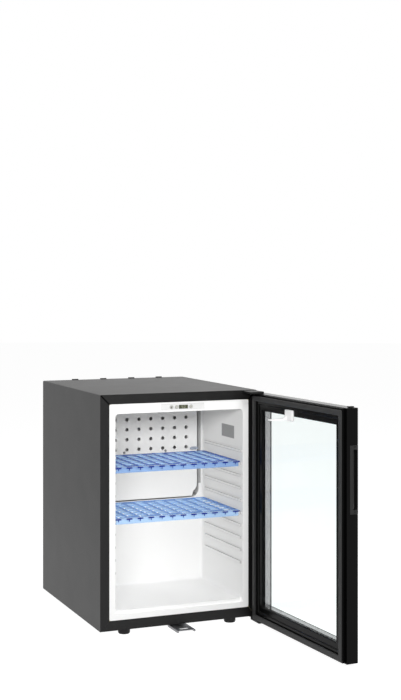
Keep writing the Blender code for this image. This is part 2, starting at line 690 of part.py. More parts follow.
def make_wrapper():
    """The painted wrapper: one sheet folded over both sides and the top, and in round the front.

    The front flanges meet in mitres at the upper corners, and the sides turn in under the base.
    """
    radius = CORNER_RADIUS
    corner_left = arc(-HALF + radius, HEIGHT - radius, radius, 180, 90, 3)
    corner_right = arc(HALF - radius, HEIGHT - radius, radius, 90, 0, 3)
    path = [(-HALF, 0.0)] + corner_left + corner_right + [(HALF, 0.0)]
    wrapper = folded_sheet("wrapper", path, FRONT, BACK, SHEET, "black_paint")
    inner_x = HALF - RAIL_SIDE
    inner_top = HEIGHT - RAIL_TOP
    front_outline = path + [(inner_x, 0.0), (inner_x, inner_top), (-inner_x, inner_top), (-inner_x, 0.0)]
    flange = flat_piece("front_flange", [front_outline], "Y", FRONT, FRONT + RAIL_THICKNESS, None)
    join(wrapper, flange)
    low_band = flat_piece(
        "low_band_space", [bottom_band_outline(SEAM)], "Y", FRONT - SHEET, FRONT + 2 * RAIL_THICKNESS, None
    )
    cut(wrapper, low_band)
    for side in (-1, 1):
        inner = side * (HALF - WRAPPER_FLANGE)
        outer = side * (HALF - SHEET / 2)
        turned_in = block(
            f"base_flange_{side}",
            (min(inner, outer), FRONT + RAIL_THICKNESS + SEAM, 0.0), (max(inner, outer), BACK, SHEET), None,
        )
        join(wrapper, turned_in)
        # the mitre shows as a groove from the opening's corner to the outside corner
        across = MITRE_GROOVE / math.sqrt(2)
        u, v = side * (inner_x - SHEET), inner_top - SHEET
        end_u, end_v = side * (HALF - radius * 1.2), HEIGHT - radius * 1.2
        mitre = flat_piece(
            f"mitre_{side}",
            [[(u - across, v), (u + across, v), (end_u + across, end_v), (end_u - across, end_v)]],
            "Y", FRONT - SHEET, FRONT + MITRE_GROOVE, None,
        )
        cut(wrapper, mitre)
    return wrapper


def bottom_band_outline(margin):
    """The lower front band's outline in (x, z), mitred into the side flanges, grown by a margin."""
    edge, inner = HALF - SHEET - SEAM + margin, HALF - RAIL_SIDE + margin
    high = RAIL_BOTTOM + margin
    return [(-edge, -margin), (edge, -margin), (inner, high), (-inner, high)]


def inside_outline(low):
    """The outline in (x, z) of what fits inside the wrapper, from a height up to the top's round corners."""
    side = HALF - SHEET - SEAM
    top = HEIGHT - SHEET - SEAM
    radius = CORNER_RADIUS
    return (
        [(side, low)]
        + arc(side - radius, top - radius, radius, 0, 90, 3)
        + arc(-side + radius, top - radius, radius, 90, 180, 3)
        + [(-side, low)]
    )


def make_bottom_band():
    """The flat black band under the door opening."""
    return flat_piece(
        "front_band_bottom", [bottom_band_outline(0.0)], "Y", FRONT, FRONT + RAIL_THICKNESS, "black_paint"
    )


def make_base_pan():
    """The base pan: a sheet with a panel pressed down to the underside, and slots under the cooling unit."""
    half = HALF - SHEET - SEAM
    front = FRONT + RAIL_THICKNESS + SEAM
    rear = BACK - 0.001
    pan = block("base_pan", (-half, front, PAN_BOTTOM), (half, rear, PAN_TOP), "galvanised")
    panel = (PAN_PANEL_WIDTH / 2, FRONT + PAN_PANEL_FRONT, FRONT + PAN_PANEL_BACK)
    pressed = block(
        "pressed_panel", (-panel[0], panel[1], 0.0), (panel[0], panel[2], PAN_TOP), None,
        bevel=PAN_BOTTOM * 0.6, segments=1,
    )
    hollow = block(
        "pressed_hollow",
        (-panel[0] + PAN_SHEET, panel[1] + PAN_SHEET, PAN_SHEET),
        (panel[0] - PAN_SHEET, panel[2] - PAN_SHEET, PAN_TOP + SHEET),
        None,
    )
    cut(join(pan, pressed), hollow)
    first = FOAM_REAR + 0.022
    pitch = (rear - 0.018 - first) / PAN_SLOTS
    for k in range(PAN_SLOTS):
        low = first + k * pitch
        slot = block(
            f"pan_slot_{k}",
            (-PAN_SLOT_LENGTH / 2, low, 0.0),
            (PAN_SLOT_LENGTH / 2, low + PAN_SLOT_WIDTH, PAN_TOP + SHEET),
            None,
        )
        cut(pan, slot)
    for _, x, y in foot_places():
        hole = rod(
            f"pan_hole_{x:.3f}_{y:.3f}", FOOT_STEM_RADIUS + FOOT_CLEARANCE,
            (x, y, -SHEET), (x, y, PAN_TOP + SHEET), None,
        )
        cut(pan, hole)
    for k, (x, y) in enumerate(base_screws()):
        hole = rod(
            f"pan_screw_hole_{k}", SCREW_RADIUS + SEAM, (x, y, 0.0), (x, y, SCREW_LENGTH), None, sides=12
        )
        cut(pan, hole)
    return pan


def base_screws():
    """The x and y of the screws that go up into the base: the lock plate's two and the hinge's two."""
    lock_y = FRONT + (LOCK_LEDGE + LOCK_SHEET + LOCK_TAIL) / 2
    hinge_x = HALF - LOWER_BRACKET_WIDTH / 2
    return (
        (-LOCK_WIDTH / 4, lock_y),
        (LOCK_WIDTH / 4, lock_y),
        (hinge_x, FRONT + BRACKET_TAIL / 3),
        (hinge_x, FRONT + BRACKET_TAIL - 0.006),
    )


def foot_places():
    """The four feet: name, x and y."""
    front = FRONT + FOOT_FROM_FRONT
    rear = BACK - FOOT_FROM_BACK
    return (
        ("foot_front_left", -FOOT_FROM_MIDDLE, front),
        ("foot_front_right", FOOT_FROM_MIDDLE, front),
        ("foot_rear_left", -FOOT_FROM_MIDDLE, rear),
        ("foot_rear_right", FOOT_FROM_MIDDLE, rear),
    )


def make_feet():
    """Round feet with a screwed stem up through the base pan."""
    top = FOOT_STEM_LENGTH - SEAM
    profile = (
        (0.0, top),
        (FOOT_STEM_RADIUS - 0.0005, top),
        (FOOT_STEM_RADIUS, top - 0.0005),
        (FOOT_STEM_RADIUS, -SEAM),
        (FOOT_RADIUS - 0.001, -SEAM),
        (FOOT_RADIUS, -SEAM - 0.001),
        (FOOT_RADIUS, -FOOT_HEIGHT + 0.003),
        (FOOT_RADIUS - 0.0016, -FOOT_HEIGHT),
        (0.0, -FOOT_HEIGHT),
    )
    for name, x, y in foot_places():
        turned(name, profile, (x, y, 0.0), "foot_rubber")


def make_lock_plate():
    """The plate under the front that a door lock goes into: low enough for the door to pass over it,

    with turned-down sides, and stepped up at the back to the base that it is screwed to.
    """
    half = LOCK_WIDTH / 2
    front = FRONT - LOCK_REACH
    riser = FRONT + LOCK_LEDGE
    rear = FRONT + LOCK_TAIL
    low = LOCK_TOP_Z - LOCK_SHEET
    outline = [
        (front + LOCK_FLANGE, low), (riser + LOCK_SHEET, low), (riser + LOCK_SHEET, -SEAM - LOCK_SHEET),
        (rear, -SEAM - LOCK_SHEET), (rear, -SEAM), (riser, -SEAM), (riser, LOCK_TOP_Z),
        (front + LOCK_FLANGE, LOCK_TOP_Z),
    ]
    plate = flat_piece("lock_plate", [outline], "X", -half, half, "galvanised")
    for side in (-1, 1):
        # the turned-down sides run on past the plate's front edge as two tips
        ends = sorted((side * half, side * (half - LOCK_SHEET)))
        sheet = [
            (front, low - LOCK_FLANGE / 2), (front + LOCK_FLANGE, low - LOCK_FLANGE),
            (riser - LOCK_FLANGE, low - LOCK_FLANGE), (riser, low), (riser, LOCK_TOP_Z), (front, LOCK_TOP_Z),
        ]
        join(plate, flat_piece(f"lock_side_{side}", [sheet], "X", ends[0], ends[1], None))
    slot_front = FRONT - LOCK_REACH * 0.65
    slot = block(
        "lock_slot", (-half / 2, slot_front, low - SHEET),
        (half / 2, slot_front + LOCK_SLOT, LOCK_TOP_Z + SHEET), None, bevel=0.002,
    )
    cut(plate, slot)
    for side, (x, y) in zip(("left", "right"), base_screws()[:2]):
        hole = rod(f"lock_hole_{side}", SCREW_RADIUS + SEAM, (x, y, -0.006), (x, y, 0.002), None, sides=12)
        cut(plate, hole)
        head_top = -SEAM - LOCK_SHEET - SEAM
        profile = screw_profile(SCREW_LENGTH, SCREW_HEAD_RADIUS, 0.0014)
        turned(f"lock_screw_{side}", profile, (x, y, head_top), "zinc", sides=12)
    return plate


def screw_profile(length, head_radius, head_height):
    """A pan-head screw with its head below z = 0 and its shank above."""
    return (
        (0.0, length),
        (SCREW_RADIUS * 0.6, length),
        (SCREW_RADIUS, length - SCREW_RADIUS * 0.5),
        (SCREW_RADIUS, 0.0),
        (head_radius, 0.0),
        (head_radius, -head_height * 0.4),
        (head_radius * 0.7, -head_height),
        (0.0, -head_height),
    )


# The lining and what it holds


def rib_top(level):
    """Height of the top of a shelf rib, counted from the lowest."""
    return RIB_TOP_Z + RIB_PITCH * level


def make_liner():
    """The white lining: a moulded tub with a front flange, a stepped sill, shelf ribs and a rear bay."""
    face = FRONT + LINER_FRONT
    rear = FRONT + CAVITY_DEPTH
    wall = LINER_WALL
    flange_x = HALF - RAIL_SIDE - SEAM
    flange_low = RAIL_BOTTOM + SEAM
    flange_high = HEIGHT - RAIL_TOP - SEAM
    liner = flat_piece(
        "liner",
        [rounded_rectangle(-flange_x, flange_x, flange_low, flange_high, LINER_CORNER)],
        "Y", face, face + wall, "white_plastic",
    )
    step = FRONT + SILL_STEP_DEPTH
    tub = block(
        "liner_tub",
        (-CAVITY_X - wall, face + wall / 2, FLOOR_Z - wall),
        (CAVITY_X + wall, rear + wall, CEILING_Z + wall),
        None,
    )
    sill = block(
        "liner_sill",
        (-CAVITY_X - wall, face + wall / 2, SILL_STEP_Z - wall),
        (CAVITY_X + wall, step + wall, FLOOR_Z),
        None,
    )
    bay_rear = rear + BAY_DEPTH
    bay = flat_piece("liner_bay", [bay_outline(wall)], "Y", rear, bay_rear + wall, None)
    # the moulding is round along the floor and up the rear corners
    cavity = softened_block(
        "cavity", (-CAVITY_X, face - MOUTH_SPACE, FLOOR_Z), (CAVITY_X, rear, CEILING_Z), None, CAVITY_RADIUS,
        lambda a, b: (a.z < 0 and b.z < 0 and not (a.y < 0 and b.y < 0)) or (a.y > 0 and b.y > 0),
    )
    mouth = softened_block(
        "mouth", (-CAVITY_X + SEAM, face - MOUTH_SPACE, SILL_STEP_Z),
        (CAVITY_X - SEAM, step, FLOOR_Z + 2 * CAVITY_RADIUS), None,
        SILL_RADIUS, lambda a, b: a.z < 0 and b.z < 0 and not (a.y < 0 and b.y < 0),
    )
    bay_space = flat_piece("bay_space", [bay_outline(0.0)], "Y", rear - wall, bay_rear, None)
    for moulded in (tub, sill, cavity, mouth):
        flare(moulded)
    join(join(join(liner, tub), sill), bay)
    cut(cut(cut(liner, cavity), mouth), bay_space)
    for level in range(RIB_LEVELS):
        for side in (-1, 1):
            join(liner, make_rib(level, side))
    for k, z in enumerate((EVAPORATOR_TOP_Z, EVAPORATOR_LOW_Z)):
        hole = rod(
            f"liner_pipe_hole_{k}", EVAPORATOR_TUBE_RADIUS + SEAM,
            (EVAPORATOR_X, bay_rear - wall, z), (EVAPORATOR_X, bay_rear + 2 * wall, z), None, sides=16,
        )
        cut(liner, hole)
    return liner


def bay_outline(margin):
    """The rear bay's outline in (x, z), with big round lower corners, grown by a margin."""
    half, low, high = BAY_WIDTH / 2 + margin, BAY_BOTTOM_Z - margin, BAY_TOP_Z + margin
    radius = BAY_CORNER + margin
    return (
        [(half, high), (-half, high)]
        + arc(-half + radius, low + radius, radius, 180, 270, 5)
        + arc(half - radius, low + radius, radius, -90, 0, 5)
    )


def make_rib(level, side):
    """One shelf rib: a ledge with a sloped underside, sunk a little into the side wall."""
    top = rib_top(level)
    outer = side * (CAVITY_X + LINER_WALL / 2)
    inner = side * (CAVITY_X - RIB_REACH)
    slope = RIB_REACH * 0.6
    loop = [(outer, top), (inner, top), (inner, top - RIB_HEIGHT + slope), (outer, top - RIB_HEIGHT)]
    start = FRONT + RIB_FRONT
    return flare(flat_piece(f"rib_{level}_{side}", [loop], "Y", start, start + RIB_LENGTH, None))


def make_insulation():
    """The foam between the wrapper and the lining, in one solid with the cold space left out."""
    wall = LINER_WALL + SEAM
    front = FRONT + LINER_FRONT + LINER_WALL + SEAM
    rear = FRONT + CAVITY_DEPTH
    foam = flat_piece(
        "insulation", [inside_outline(PAN_TOP + SEAM)], "Y", front, FOAM_REAR, "foam"
    )
    tub = block(
        "foam_tub",
        (-CAVITY_X - wall, front - 0.01, FLOOR_Z - wall),
        (CAVITY_X + wall, rear + wall, CEILING_Z + wall),
        None,
    )
    sill = block(
        "foam_sill",
        (-CAVITY_X - wall, front - 0.01, SILL_STEP_Z - wall),
        (CAVITY_X + wall, FRONT + SILL_STEP_DEPTH + wall, FLOOR_Z),
        None,
    )
    bay = flat_piece("foam_bay", [bay_outline(wall)], "Y", rear, rear + BAY_DEPTH + wall, None)
    notch = block(
        "foam_bracket_notch",
        (bracket_left() - SEAM, front - 0.01, bracket_bottom() - SEAM),
        (HALF, FRONT + BRACKET_TAIL + SEAM, HEIGHT),
        None,
    )
    flare(tub)
    flare(sill)
    for tool in (tub, sill, bay, notch):
        cut(foam, tool)
    for k, z in enumerate((EVAPORATOR_TOP_Z, EVAPORATOR_LOW_Z)):
        hole = rod(
            f"foam_pipe_hole_{k}", EVAPORATOR_TUBE_RADIUS + SEAM,
            (EVAPORATOR_X, rear + BAY_DEPTH, z), (EVAPORATOR_X, FOAM_REAR + 0.01, z), None, sides=16,
        )
        cut(foam, hole)
    for name, x, y in foot_places()[:2]:
        well = rod(
            f"foam_well_{name}", FOOT_STEM_RADIUS + FOOT_CLEARANCE,
            (x, y, 0.0), (x, y, FOOT_STEM_LENGTH + SEAM), None,
        )
        cut(foam, well)
    for k, (x, y) in enumerate(base_screws()):
        well = rod(
            f"foam_screw_well_{k}", SCREW_RADIUS + SEAM, (x, y, 0.0), (x, y, SCREW_LENGTH), None, sides=12
        )
        cut(foam, well)
    return foam


def make_back_wall():
    """The steel sheet behind the insulation, with holes for the two pipes."""
    holes = [
        circle(EVAPORATOR_X, z, EVAPORATOR_TUBE_RADIUS + SEAM)
        for z in (EVAPORATOR_TOP_Z, EVAPORATOR_LOW_Z)
    ]
    loops = [inside_outline(PAN_TOP + SEAM)] + holes
    return flat_piece("back_wall", loops, "Y", FOAM_REAR + SEAM, BACK_SHEET_REAR, "galvanised")


def make_cover():
    """The white perforated cover over the cooling plate, cut back at its lower corners."""
    half = COVER_WIDTH / 2
    notch = COVER_CORNER / 3
    right = [(half, COVER_TOP_Z), (-half, COVER_TOP_Z)]
    left_side = arc(-half + notch * 2, COVER_BOTTOM_Z + COVER_CORNER, notch * 2, 180, 240, 4)
    right_side = arc(half - notch * 2, COVER_BOTTOM_Z + COVER_CORNER, notch * 2, -60, 0, 4)
    outline = (
        right
        + left_side
        + [(-half + notch * 1.4, COVER_BOTTOM_Z), (half - notch * 1.4, COVER_BOTTOM_Z)]
        + right_side
    )
    loops = [outline]
    for column in range(COVER_COLUMNS):
        x = (column - (COVER_COLUMNS - 1) / 2) * COVER_COLUMN_PITCH
        for row in range(COVER_ROWS):
            loops.append(circle(x, COVER_LOWEST_ROW_Z + row * COVER_ROW_PITCH, COVER_HOLE_RADIUS, 10))
    for x in (-COVER_SCREW_X, COVER_SCREW_X):
        loops.append(circle(x, COVER_SCREW_Z, SCREW_RADIUS + 0.0003, 10))
    face = FRONT + COVER_FACE
    return flat_piece("evaporator_cover", loops, "Y", face, face + COVER_THICKNESS, "white_plastic")


def make_cooling_plate():
    """The cooling plate: an extruded aluminium comb with two posts for the cover's screws."""
    half = PLATE_WIDTH / 2
    back = FRONT + PLATE_BACK
    base = back - PLATE_THICKNESS
    tips = base - FIN_DEPTH
    pitch = (PLATE_WIDTH - FIN_THICKNESS) / (FIN_COUNT - 1)
    comb = [(half, back), (-half, back)]
    for k in range(FIN_COUNT):
        left = -half + k * pitch
        if k:
            comb.append((left, base))
        comb += [(left, tips), (left + FIN_THICKNESS, tips)]
        if k < FIN_COUNT - 1:
            comb.append((left + FIN_THICKNESS, base))
    plate = flat_piece("cooling_plate", [comb], "Z", PLATE_BOTTOM_Z, PLATE_TOP_Z, "aluminium")
    post_front = FRONT + COVER_FACE + COVER_THICKNESS + SEAM
    for k, x in enumerate((-COVER_SCREW_X, COVER_SCREW_X)):
        post = rod(
            f"post_{k}", POST_RADIUS, (x, post_front, COVER_SCREW_Z), (x, base + SHEET, COVER_SCREW_Z),
            None, sides=12,
        )
        bore = rod(
            f"post_bore_{k}", SCREW_RADIUS + SEAM / 2,
            (x, post_front - SHEET, COVER_SCREW_Z), (x, post_front + 1.3 * SCREW_LENGTH, COVER_SCREW_Z),
            None, sides=10,
        )
        cut(join(plate, post), bore)
    return plate


def make_cover_screws():
    """The two screws that hold the cover to the posts."""
    for side, x in (("left", -COVER_SCREW_X), ("right", COVER_SCREW_X)):
        profile = screw_profile(SCREW_LENGTH, SCREW_HEAD_RADIUS, 0.0016)
        screw = turned(
            f"cover_screw_{side}", profile, (x, FRONT + COVER_FACE - SEAM, COVER_SCREW_Z), "zinc", sides=12
        )
        # the head looks out of the cabinet and the shank points into it
        screw.rotation_euler = (math.radians(-90), 0.0, 0.0)


def make_sensor():
    """The temperature sensor in its clip at the cover's lower right."""
    right = COVER_WIDTH / 2
    face = FRONT + COVER_FACE - SEAM
    clip = block(
        "sensor_clip",
        (right - 0.016, face - 0.0035, COVER_SCREW_Z - 0.001),
        (right - 0.003, face, COVER_SCREW_Z + 0.007),
        "white_plastic", bevel=0.0008, segments=1,
    )
    bulb = rod(
        "sensor_bulb", 0.0028, (right - 0.020, face - 0.0035, COVER_SCREW_Z + 0.003),
        (right + 0.001, face - 0.0035, COVER_SCREW_Z + 0.003), None, sides=10,
    )
    return join(clip, bulb)


def housing_fillet(side):
    """The little concave web where the housing's face runs down into the side of the lining."""
    edge = side * (CAVITY_X - 1.5 * SEAM)
    radius = HOUSING_FILLET
    centre = edge - side * radius
    low = HOUSING_BOTTOM_Z - radius
    angles = (90, 0) if side > 0 else (90, 180)
    curve = arc(centre, low, radius, *angles, 4)
    return [(edge, HOUSING_BOTTOM_Z + SHEET), (centre, HOUSING_BOTTOM_Z + SHEET)] + curve


def make_housing():
    """The white control housing under the ceiling, open at the top, with a window and a lamp slot."""
    half = CAVITY_X - SEAM
    face = FRONT + LINER_FRONT
    top = CEILING_Z - SEAM
    housing = block(
        "control_housing", (-half, face, HOUSING_BOTTOM_Z), (half, face + HOUSING_DEPTH, top), "white_plastic"
    )
    wall = HOUSING_WALL
    inside = block(
        "housing_inside",
        (-half + wall, face + wall, HOUSING_BOTTOM_Z + wall),
        (half - wall, face + HOUSING_DEPTH - wall, top + wall),
        None,
    )
    window = block(
        "housing_window",
        (LENS_LEFT - SEAM, face - wall, CONTROL_Z - LENS_HEIGHT / 2 - SEAM),
        (LENS_RIGHT + SEAM, face + LENS_THICKNESS + SEAM, CONTROL_Z + LENS_HEIGHT / 2 + SEAM),
        None,
    )
    inner_window = block(
        "housing_inner_window",
        (LENS_LEFT + LENS_REST, face - wall, CONTROL_Z - LENS_HEIGHT / 2 + LENS_REST_LOW),
        (LENS_RIGHT - LENS_REST, face + 2 * wall, CONTROL_Z + LENS_HEIGHT / 2 - LENS_REST_LOW),
        None,
    )
    lamp_slot = block(
        "lamp_slot",
        (-LAMP_WIDTH / 2 - SEAM, face + LAMP_FROM_FRONT - SEAM, HOUSING_BOTTOM_Z - wall),
        (LAMP_WIDTH / 2 + SEAM, face + LAMP_FROM_FRONT + LAMP_DEPTH + SEAM, HOUSING_BOTTOM_Z + 2 * wall),
        None,
    )
    flare(housing)
    flare(inside)
    for tool in (inside, window, inner_window, lamp_slot):
        cut(housing, tool)
    for side in (-1, 1):
        web = flat_piece(f"housing_web_{side}", [housing_fillet(side)], "Y", face, face + wall, None)
        join(housing, flare(web))
    # the board stands on two ledges moulded into the housing's floor
    for k, x in enumerate((LENS_LEFT + LEDGE_INSET, LENS_RIGHT - LEDGE_INSET)):
        ledge = block(
            f"board_ledge_{k}",
            (x - LEDGE_WIDTH / 2, board_front() - BOARD_THICKNESS, HOUSING_BOTTOM_Z + wall / 2),
            (x + LEDGE_WIDTH / 2, board_front() + 2 * BOARD_THICKNESS, HOUSING_BOTTOM_Z + wall + 4 * SEAM),
            None,
        )
        join(housing, ledge)
    return housing


def board_front():
    """Front of the circuit board, behind the buttons' travel."""
    return FRONT + LINER_FRONT + BUTTON_LENGTH + BUTTON_TRAVEL + BOARD_GAP


def make_controls():
    """Lens, display, circuit board, three buttons and the lamp's cover."""
    face = FRONT + LINER_FRONT
    low = CONTROL_Z - LENS_HEIGHT / 2
    high = CONTROL_Z + LENS_HEIGHT / 2
    display = (DISPLAY_X - DISPLAY_WIDTH / 2, DISPLAY_X + DISPLAY_WIDTH / 2)
    display_z = (CONTROL_Z - DISPLAY_HEIGHT / 2, CONTROL_Z + DISPLAY_HEIGHT / 2)
    loops = [rounded_rectangle(LENS_LEFT, LENS_RIGHT, low, high, LENS_CORNER, 2)]
    for _, x in BUTTON_PLACES:
        loops.append(circle(x, CONTROL_Z, BUTTON_RADIUS + BUTTON_CLEARANCE, 16))
    loops.append(rectangle(display[0] - SEAM, display[1] + SEAM, display_z[0] - SEAM, display_z[1] + SEAM))
    flat_piece("control_lens", loops, "Y", face, face + LENS_THICKNESS, "lens")
    for name, x in BUTTON_PLACES:
        button = rod(
            name, BUTTON_RADIUS, (x, face - BUTTON_PROUD, CONTROL_Z),
            (x, face + BUTTON_LENGTH, CONTROL_Z), "white_plastic", sides=16,
        )
        rounding = button.modifiers.new("edge", "BEVEL")
        rounding.width = 0.0004
        rounding.segments = 1
        rounding.limit_method = "ANGLE"
    front = board_front()
    block(
        "display_window",
        (display[0], face + SEAM, display_z[0]), (display[1], front - SEAM, display_z[1]), "display",
    )
    board = block(
        "control_board",
        (LENS_LEFT + BOARD_INSET, front, HOUSING_BOTTOM_Z + HOUSING_WALL + 5 * SEAM),
        (LENS_RIGHT - BOARD_INSET, front + BOARD_THICKNESS, CEILING_Z - HOUSING_WALL),
        "circuit_board",
    )
    for name, x in BUTTON_PLACES:
        switch = block(
            f"switch_{name}",
            (x - 0.003, face + BUTTON_LENGTH + BUTTON_TRAVEL + SEAM, CONTROL_Z - 0.003),
            (x + 0.003, front + SHEET, CONTROL_Z + 0.003),
            None,
        )
        join(board, switch)
    lamp_front = face + LAMP_FROM_FRONT
    lamp = block(
        "lamp_cover",
        (-LAMP_WIDTH / 2, lamp_front, HOUSING_BOTTOM_Z - 0.0015),
        (LAMP_WIDTH / 2, lamp_front + LAMP_DEPTH, HOUSING_BOTTOM_Z + HOUSING_WALL + SEAM + 0.0005),
        "lens",
    )
    rim = block(
        "lamp_rim",
        (-LAMP_WIDTH / 2 - 0.002, lamp_front - 0.002, HOUSING_BOTTOM_Z + HOUSING_WALL + SEAM),
        (LAMP_WIDTH / 2 + 0.002, lamp_front + LAMP_DEPTH + 0.002, HOUSING_BOTTOM_Z + HOUSING_WALL + 0.0015),
        None,
    )
    join(lamp, rim)


def make_shelf(name, level):
    """A moulded shelf: a plate with staggered openings, T bars under it and a lip at the front and back."""
    top = rib_top(level) + SHELF_THICKNESS + SEAM
    bottom = top - SHELF_THICKNESS
    half = CAVITY_X - SHELF_SIDE_CLEARANCE
    front = FRONT + SHELF_FRONT
    back = FRONT + SHELF_BACK
    middle = (front + back) / 2
    wall = SHELF_LIP_THICKNESS
    low = top - SHELF_LIP
    section = [
        (front, low), (front + wall, low), (front + wall, bottom), (back - wall, bottom),
        (back - wall, low), (back, low), (back, top), (front, top),
    ]
    shelf = flare(flat_piece(name, [section], "X", -half, half, "blue_plastic"))
    inside = CAVITY_X - RIB_REACH - SHELF_SIDE_CLEARANCE
    for side in (-1, 1):
        # the plate alone reaches over the ribs, and the lips and bars stay between them
        ends = sorted((side * inside, side * (half + wall)))
        end = block(
            f"{name}_end_{side}", (ends[0], front - wall, low - wall), (ends[1], back + wall, bottom), None
        )
        cut(shelf, flare(end))
    columns = int((2 * (inside - SHELF_SIDE_BAND) - SHELF_SLOT_WIDTH) / SHELF_BAR_PITCH) + 1
    room = back - front - 2 * (wall + SHELF_END_BAND)
    rows = int((room - SHELF_SLOT_LENGTH) / SHELF_SLOT_PITCH) + 1
    cut(shelf, shelf_openings(name, columns, rows, middle, bottom, top))
    for bar in range(1, columns):
        x = (bar - columns / 2) * SHELF_BAR_PITCH
        stem = block(
            f"{name}_stem_{bar}",
            (x - SHELF_STEM_THICKNESS / 2, front + wall / 2, bottom - SHELF_STEM),
            (x + SHELF_STEM_THICKNESS / 2, back - wall / 2, bottom + SHELF_THICKNESS / 2),
            None,
        )
        join(shelf, stem)
    return shelf


def shelf_openings(name, columns, most_rows, middle, bottom, top):
    """The openings between the bars, as one cutter: every second column lies half a step further back."""
    bm = bmesh.new()
    for column in range(columns):
        x = (column - (columns - 1) / 2) * SHELF_BAR_PITCH
        rows = most_rows - column % 2
        for row in range(rows):
            y = middle + (row - (rows - 1) / 2) * SHELF_SLOT_PITCH
            made = bmesh.ops.create_cube(bm, size=1.0)["verts"]
            bmesh.ops.scale(bm, vec=(SHELF_SLOT_WIDTH, SHELF_SLOT_LENGTH, 3 * (top - bottom)), verts=made)
            bmesh.ops.translate(bm, vec=(x, y, (bottom + top) / 2), verts=made)
    cutter_name = f"{name}_openings"
    return put(cutter_name, mesh_of(bm, cutter_name), None)


# The cooling unit in the open back


def make_cooling_unit():
    """The sealed absorption circuit: boiler, condenser, evaporator, gas pipe, absorber coil and vessel."""
    unit_y = FRONT + UNIT_Y
    inside_y = FRONT + EVAPORATOR_TUBE_Y
    joint_y = BACK_SHEET_REAR + 0.010
    x = EVAPORATOR_X
    evaporator = bent_path(
        [
            (x, joint_y, EVAPORATOR_TOP_Z),
            (x, inside_y, EVAPORATOR_TOP_Z),
            (EVAPORATOR_LEFT_X, inside_y, EVAPORATOR_TOP_Z),
            (EVAPORATOR_LEFT_X, inside_y, EVAPORATOR_LOW_Z),
            (x, inside_y, EVAPORATOR_LOW_Z),
            (x, joint_y, EVAPORATOR_LOW_Z),
        ],
        0.010,
    )
    tube("evaporator_tube", evaporator, EVAPORATOR_TUBE_RADIUS, "aluminium")
    half = BOILER_SIDE / 2
    block(
        "boiler_jacket",
        (BOILER_X - half, unit_y - half, BOILER_BOTTOM_Z),
        (BOILER_X + half, unit_y + half, BOILER_TOP_Z),
        "unit_paint", bevel=0.008, segments=3,
    )
    near_sheet = BACK_SHEET_REAR + 0.028
    condenser = bent_path(
        [
            (BOILER_X, unit_y, BOILER_TOP_Z + SEAM),
            (BOILER_X, unit_y, CONDENSER_Z),
            (CONDENSER_LEFT_X, unit_y, CONDENSER_Z),
            (CONDENSER_LEFT_X, unit_y, EVAPORATOR_TOP_Z),
            (CONDENSER_LEFT_X, near_sheet, EVAPORATOR_TOP_Z),
            (x, near_sheet, EVAPORATOR_TOP_Z),
            (x, joint_y + SEAM, EVAPORATOR_TOP_Z),
        ],
        0.012,
    )
    tube("condenser_tube", condenser, CONDENSER_TUBE_RADIUS, "unit_paint")
    make_condenser_fins(unit_y)
    gas_pipe = bent_path(
        [
            (x, joint_y + SEAM, EVAPORATOR_LOW_Z),
            (x, unit_y, EVAPORATOR_LOW_Z),
            (x, unit_y, VESSEL_Z + VESSEL_RADIUS + SEAM),
        ],
        GAS_PIPE_BEND,
    )
    tube("gas_pipe", gas_pipe, GAS_PIPE_RADIUS, "unit_paint")
    vessel = rod(
        "absorber_vessel", VESSEL_RADIUS,
        (VESSEL_LEFT_X, unit_y, VESSEL_Z), (VESSEL_RIGHT_X, unit_y, VESSEL_Z), "unit_paint", sides=32,
    )
    rounding = vessel.modifiers.new("domed_ends", "BEVEL")
    rounding.width = 0.009
    rounding.segments = 3
    rounding.limit_method = "ANGLE"
    make_absorber_coil(unit_y)
    rod(
        "solution_pipe", 0.006,
        (VESSEL_RIGHT_X + SEAM, unit_y, VESSEL_Z), (BOILER_X - half - SEAM, unit_y, VESSEL_Z),
        "unit_paint", sides=16,
    )


def make_condenser_fins(unit_y):
    """Square fins on the condenser tube, whose collars make one sleeve round it."""
    half = CONDENSER_FIN_SIDE / 2
    middle = (BOILER_X + CONDENSER_LEFT_X) / 2
    span = (CONDENSER_FIN_COUNT - 1) * CONDENSER_FIN_PITCH / 2 + CONDENSER_FIN_THICKNESS
    bore_radius = CONDENSER_TUBE_RADIUS + SEAM
    sleeve = circle(unit_y, CONDENSER_Z, bore_radius + CONDENSER_COLLAR, 16)
    fins = flat_piece("condenser_fins", [sleeve], "X", middle - span, middle + span, "unit_paint")
    square = rectangle(unit_y - half, unit_y + half, CONDENSER_Z - half, CONDENSER_Z + half)
    for k in range(CONDENSER_FIN_COUNT):
        x = middle + (k - (CONDENSER_FIN_COUNT - 1) / 2) * CONDENSER_FIN_PITCH
        fin = flat_piece(
            f"condenser_fin_{k}", [square], "X",
            x - CONDENSER_FIN_THICKNESS / 2, x + CONDENSER_FIN_THICKNESS / 2, None,
        )
        join(fins, fin)
    bore = circle(unit_y, CONDENSER_Z, bore_radius, 16)
    return cut(fins, flat_piece("condenser_bore", [bore], "X", middle - 2 * span, middle + 2 * span, None))


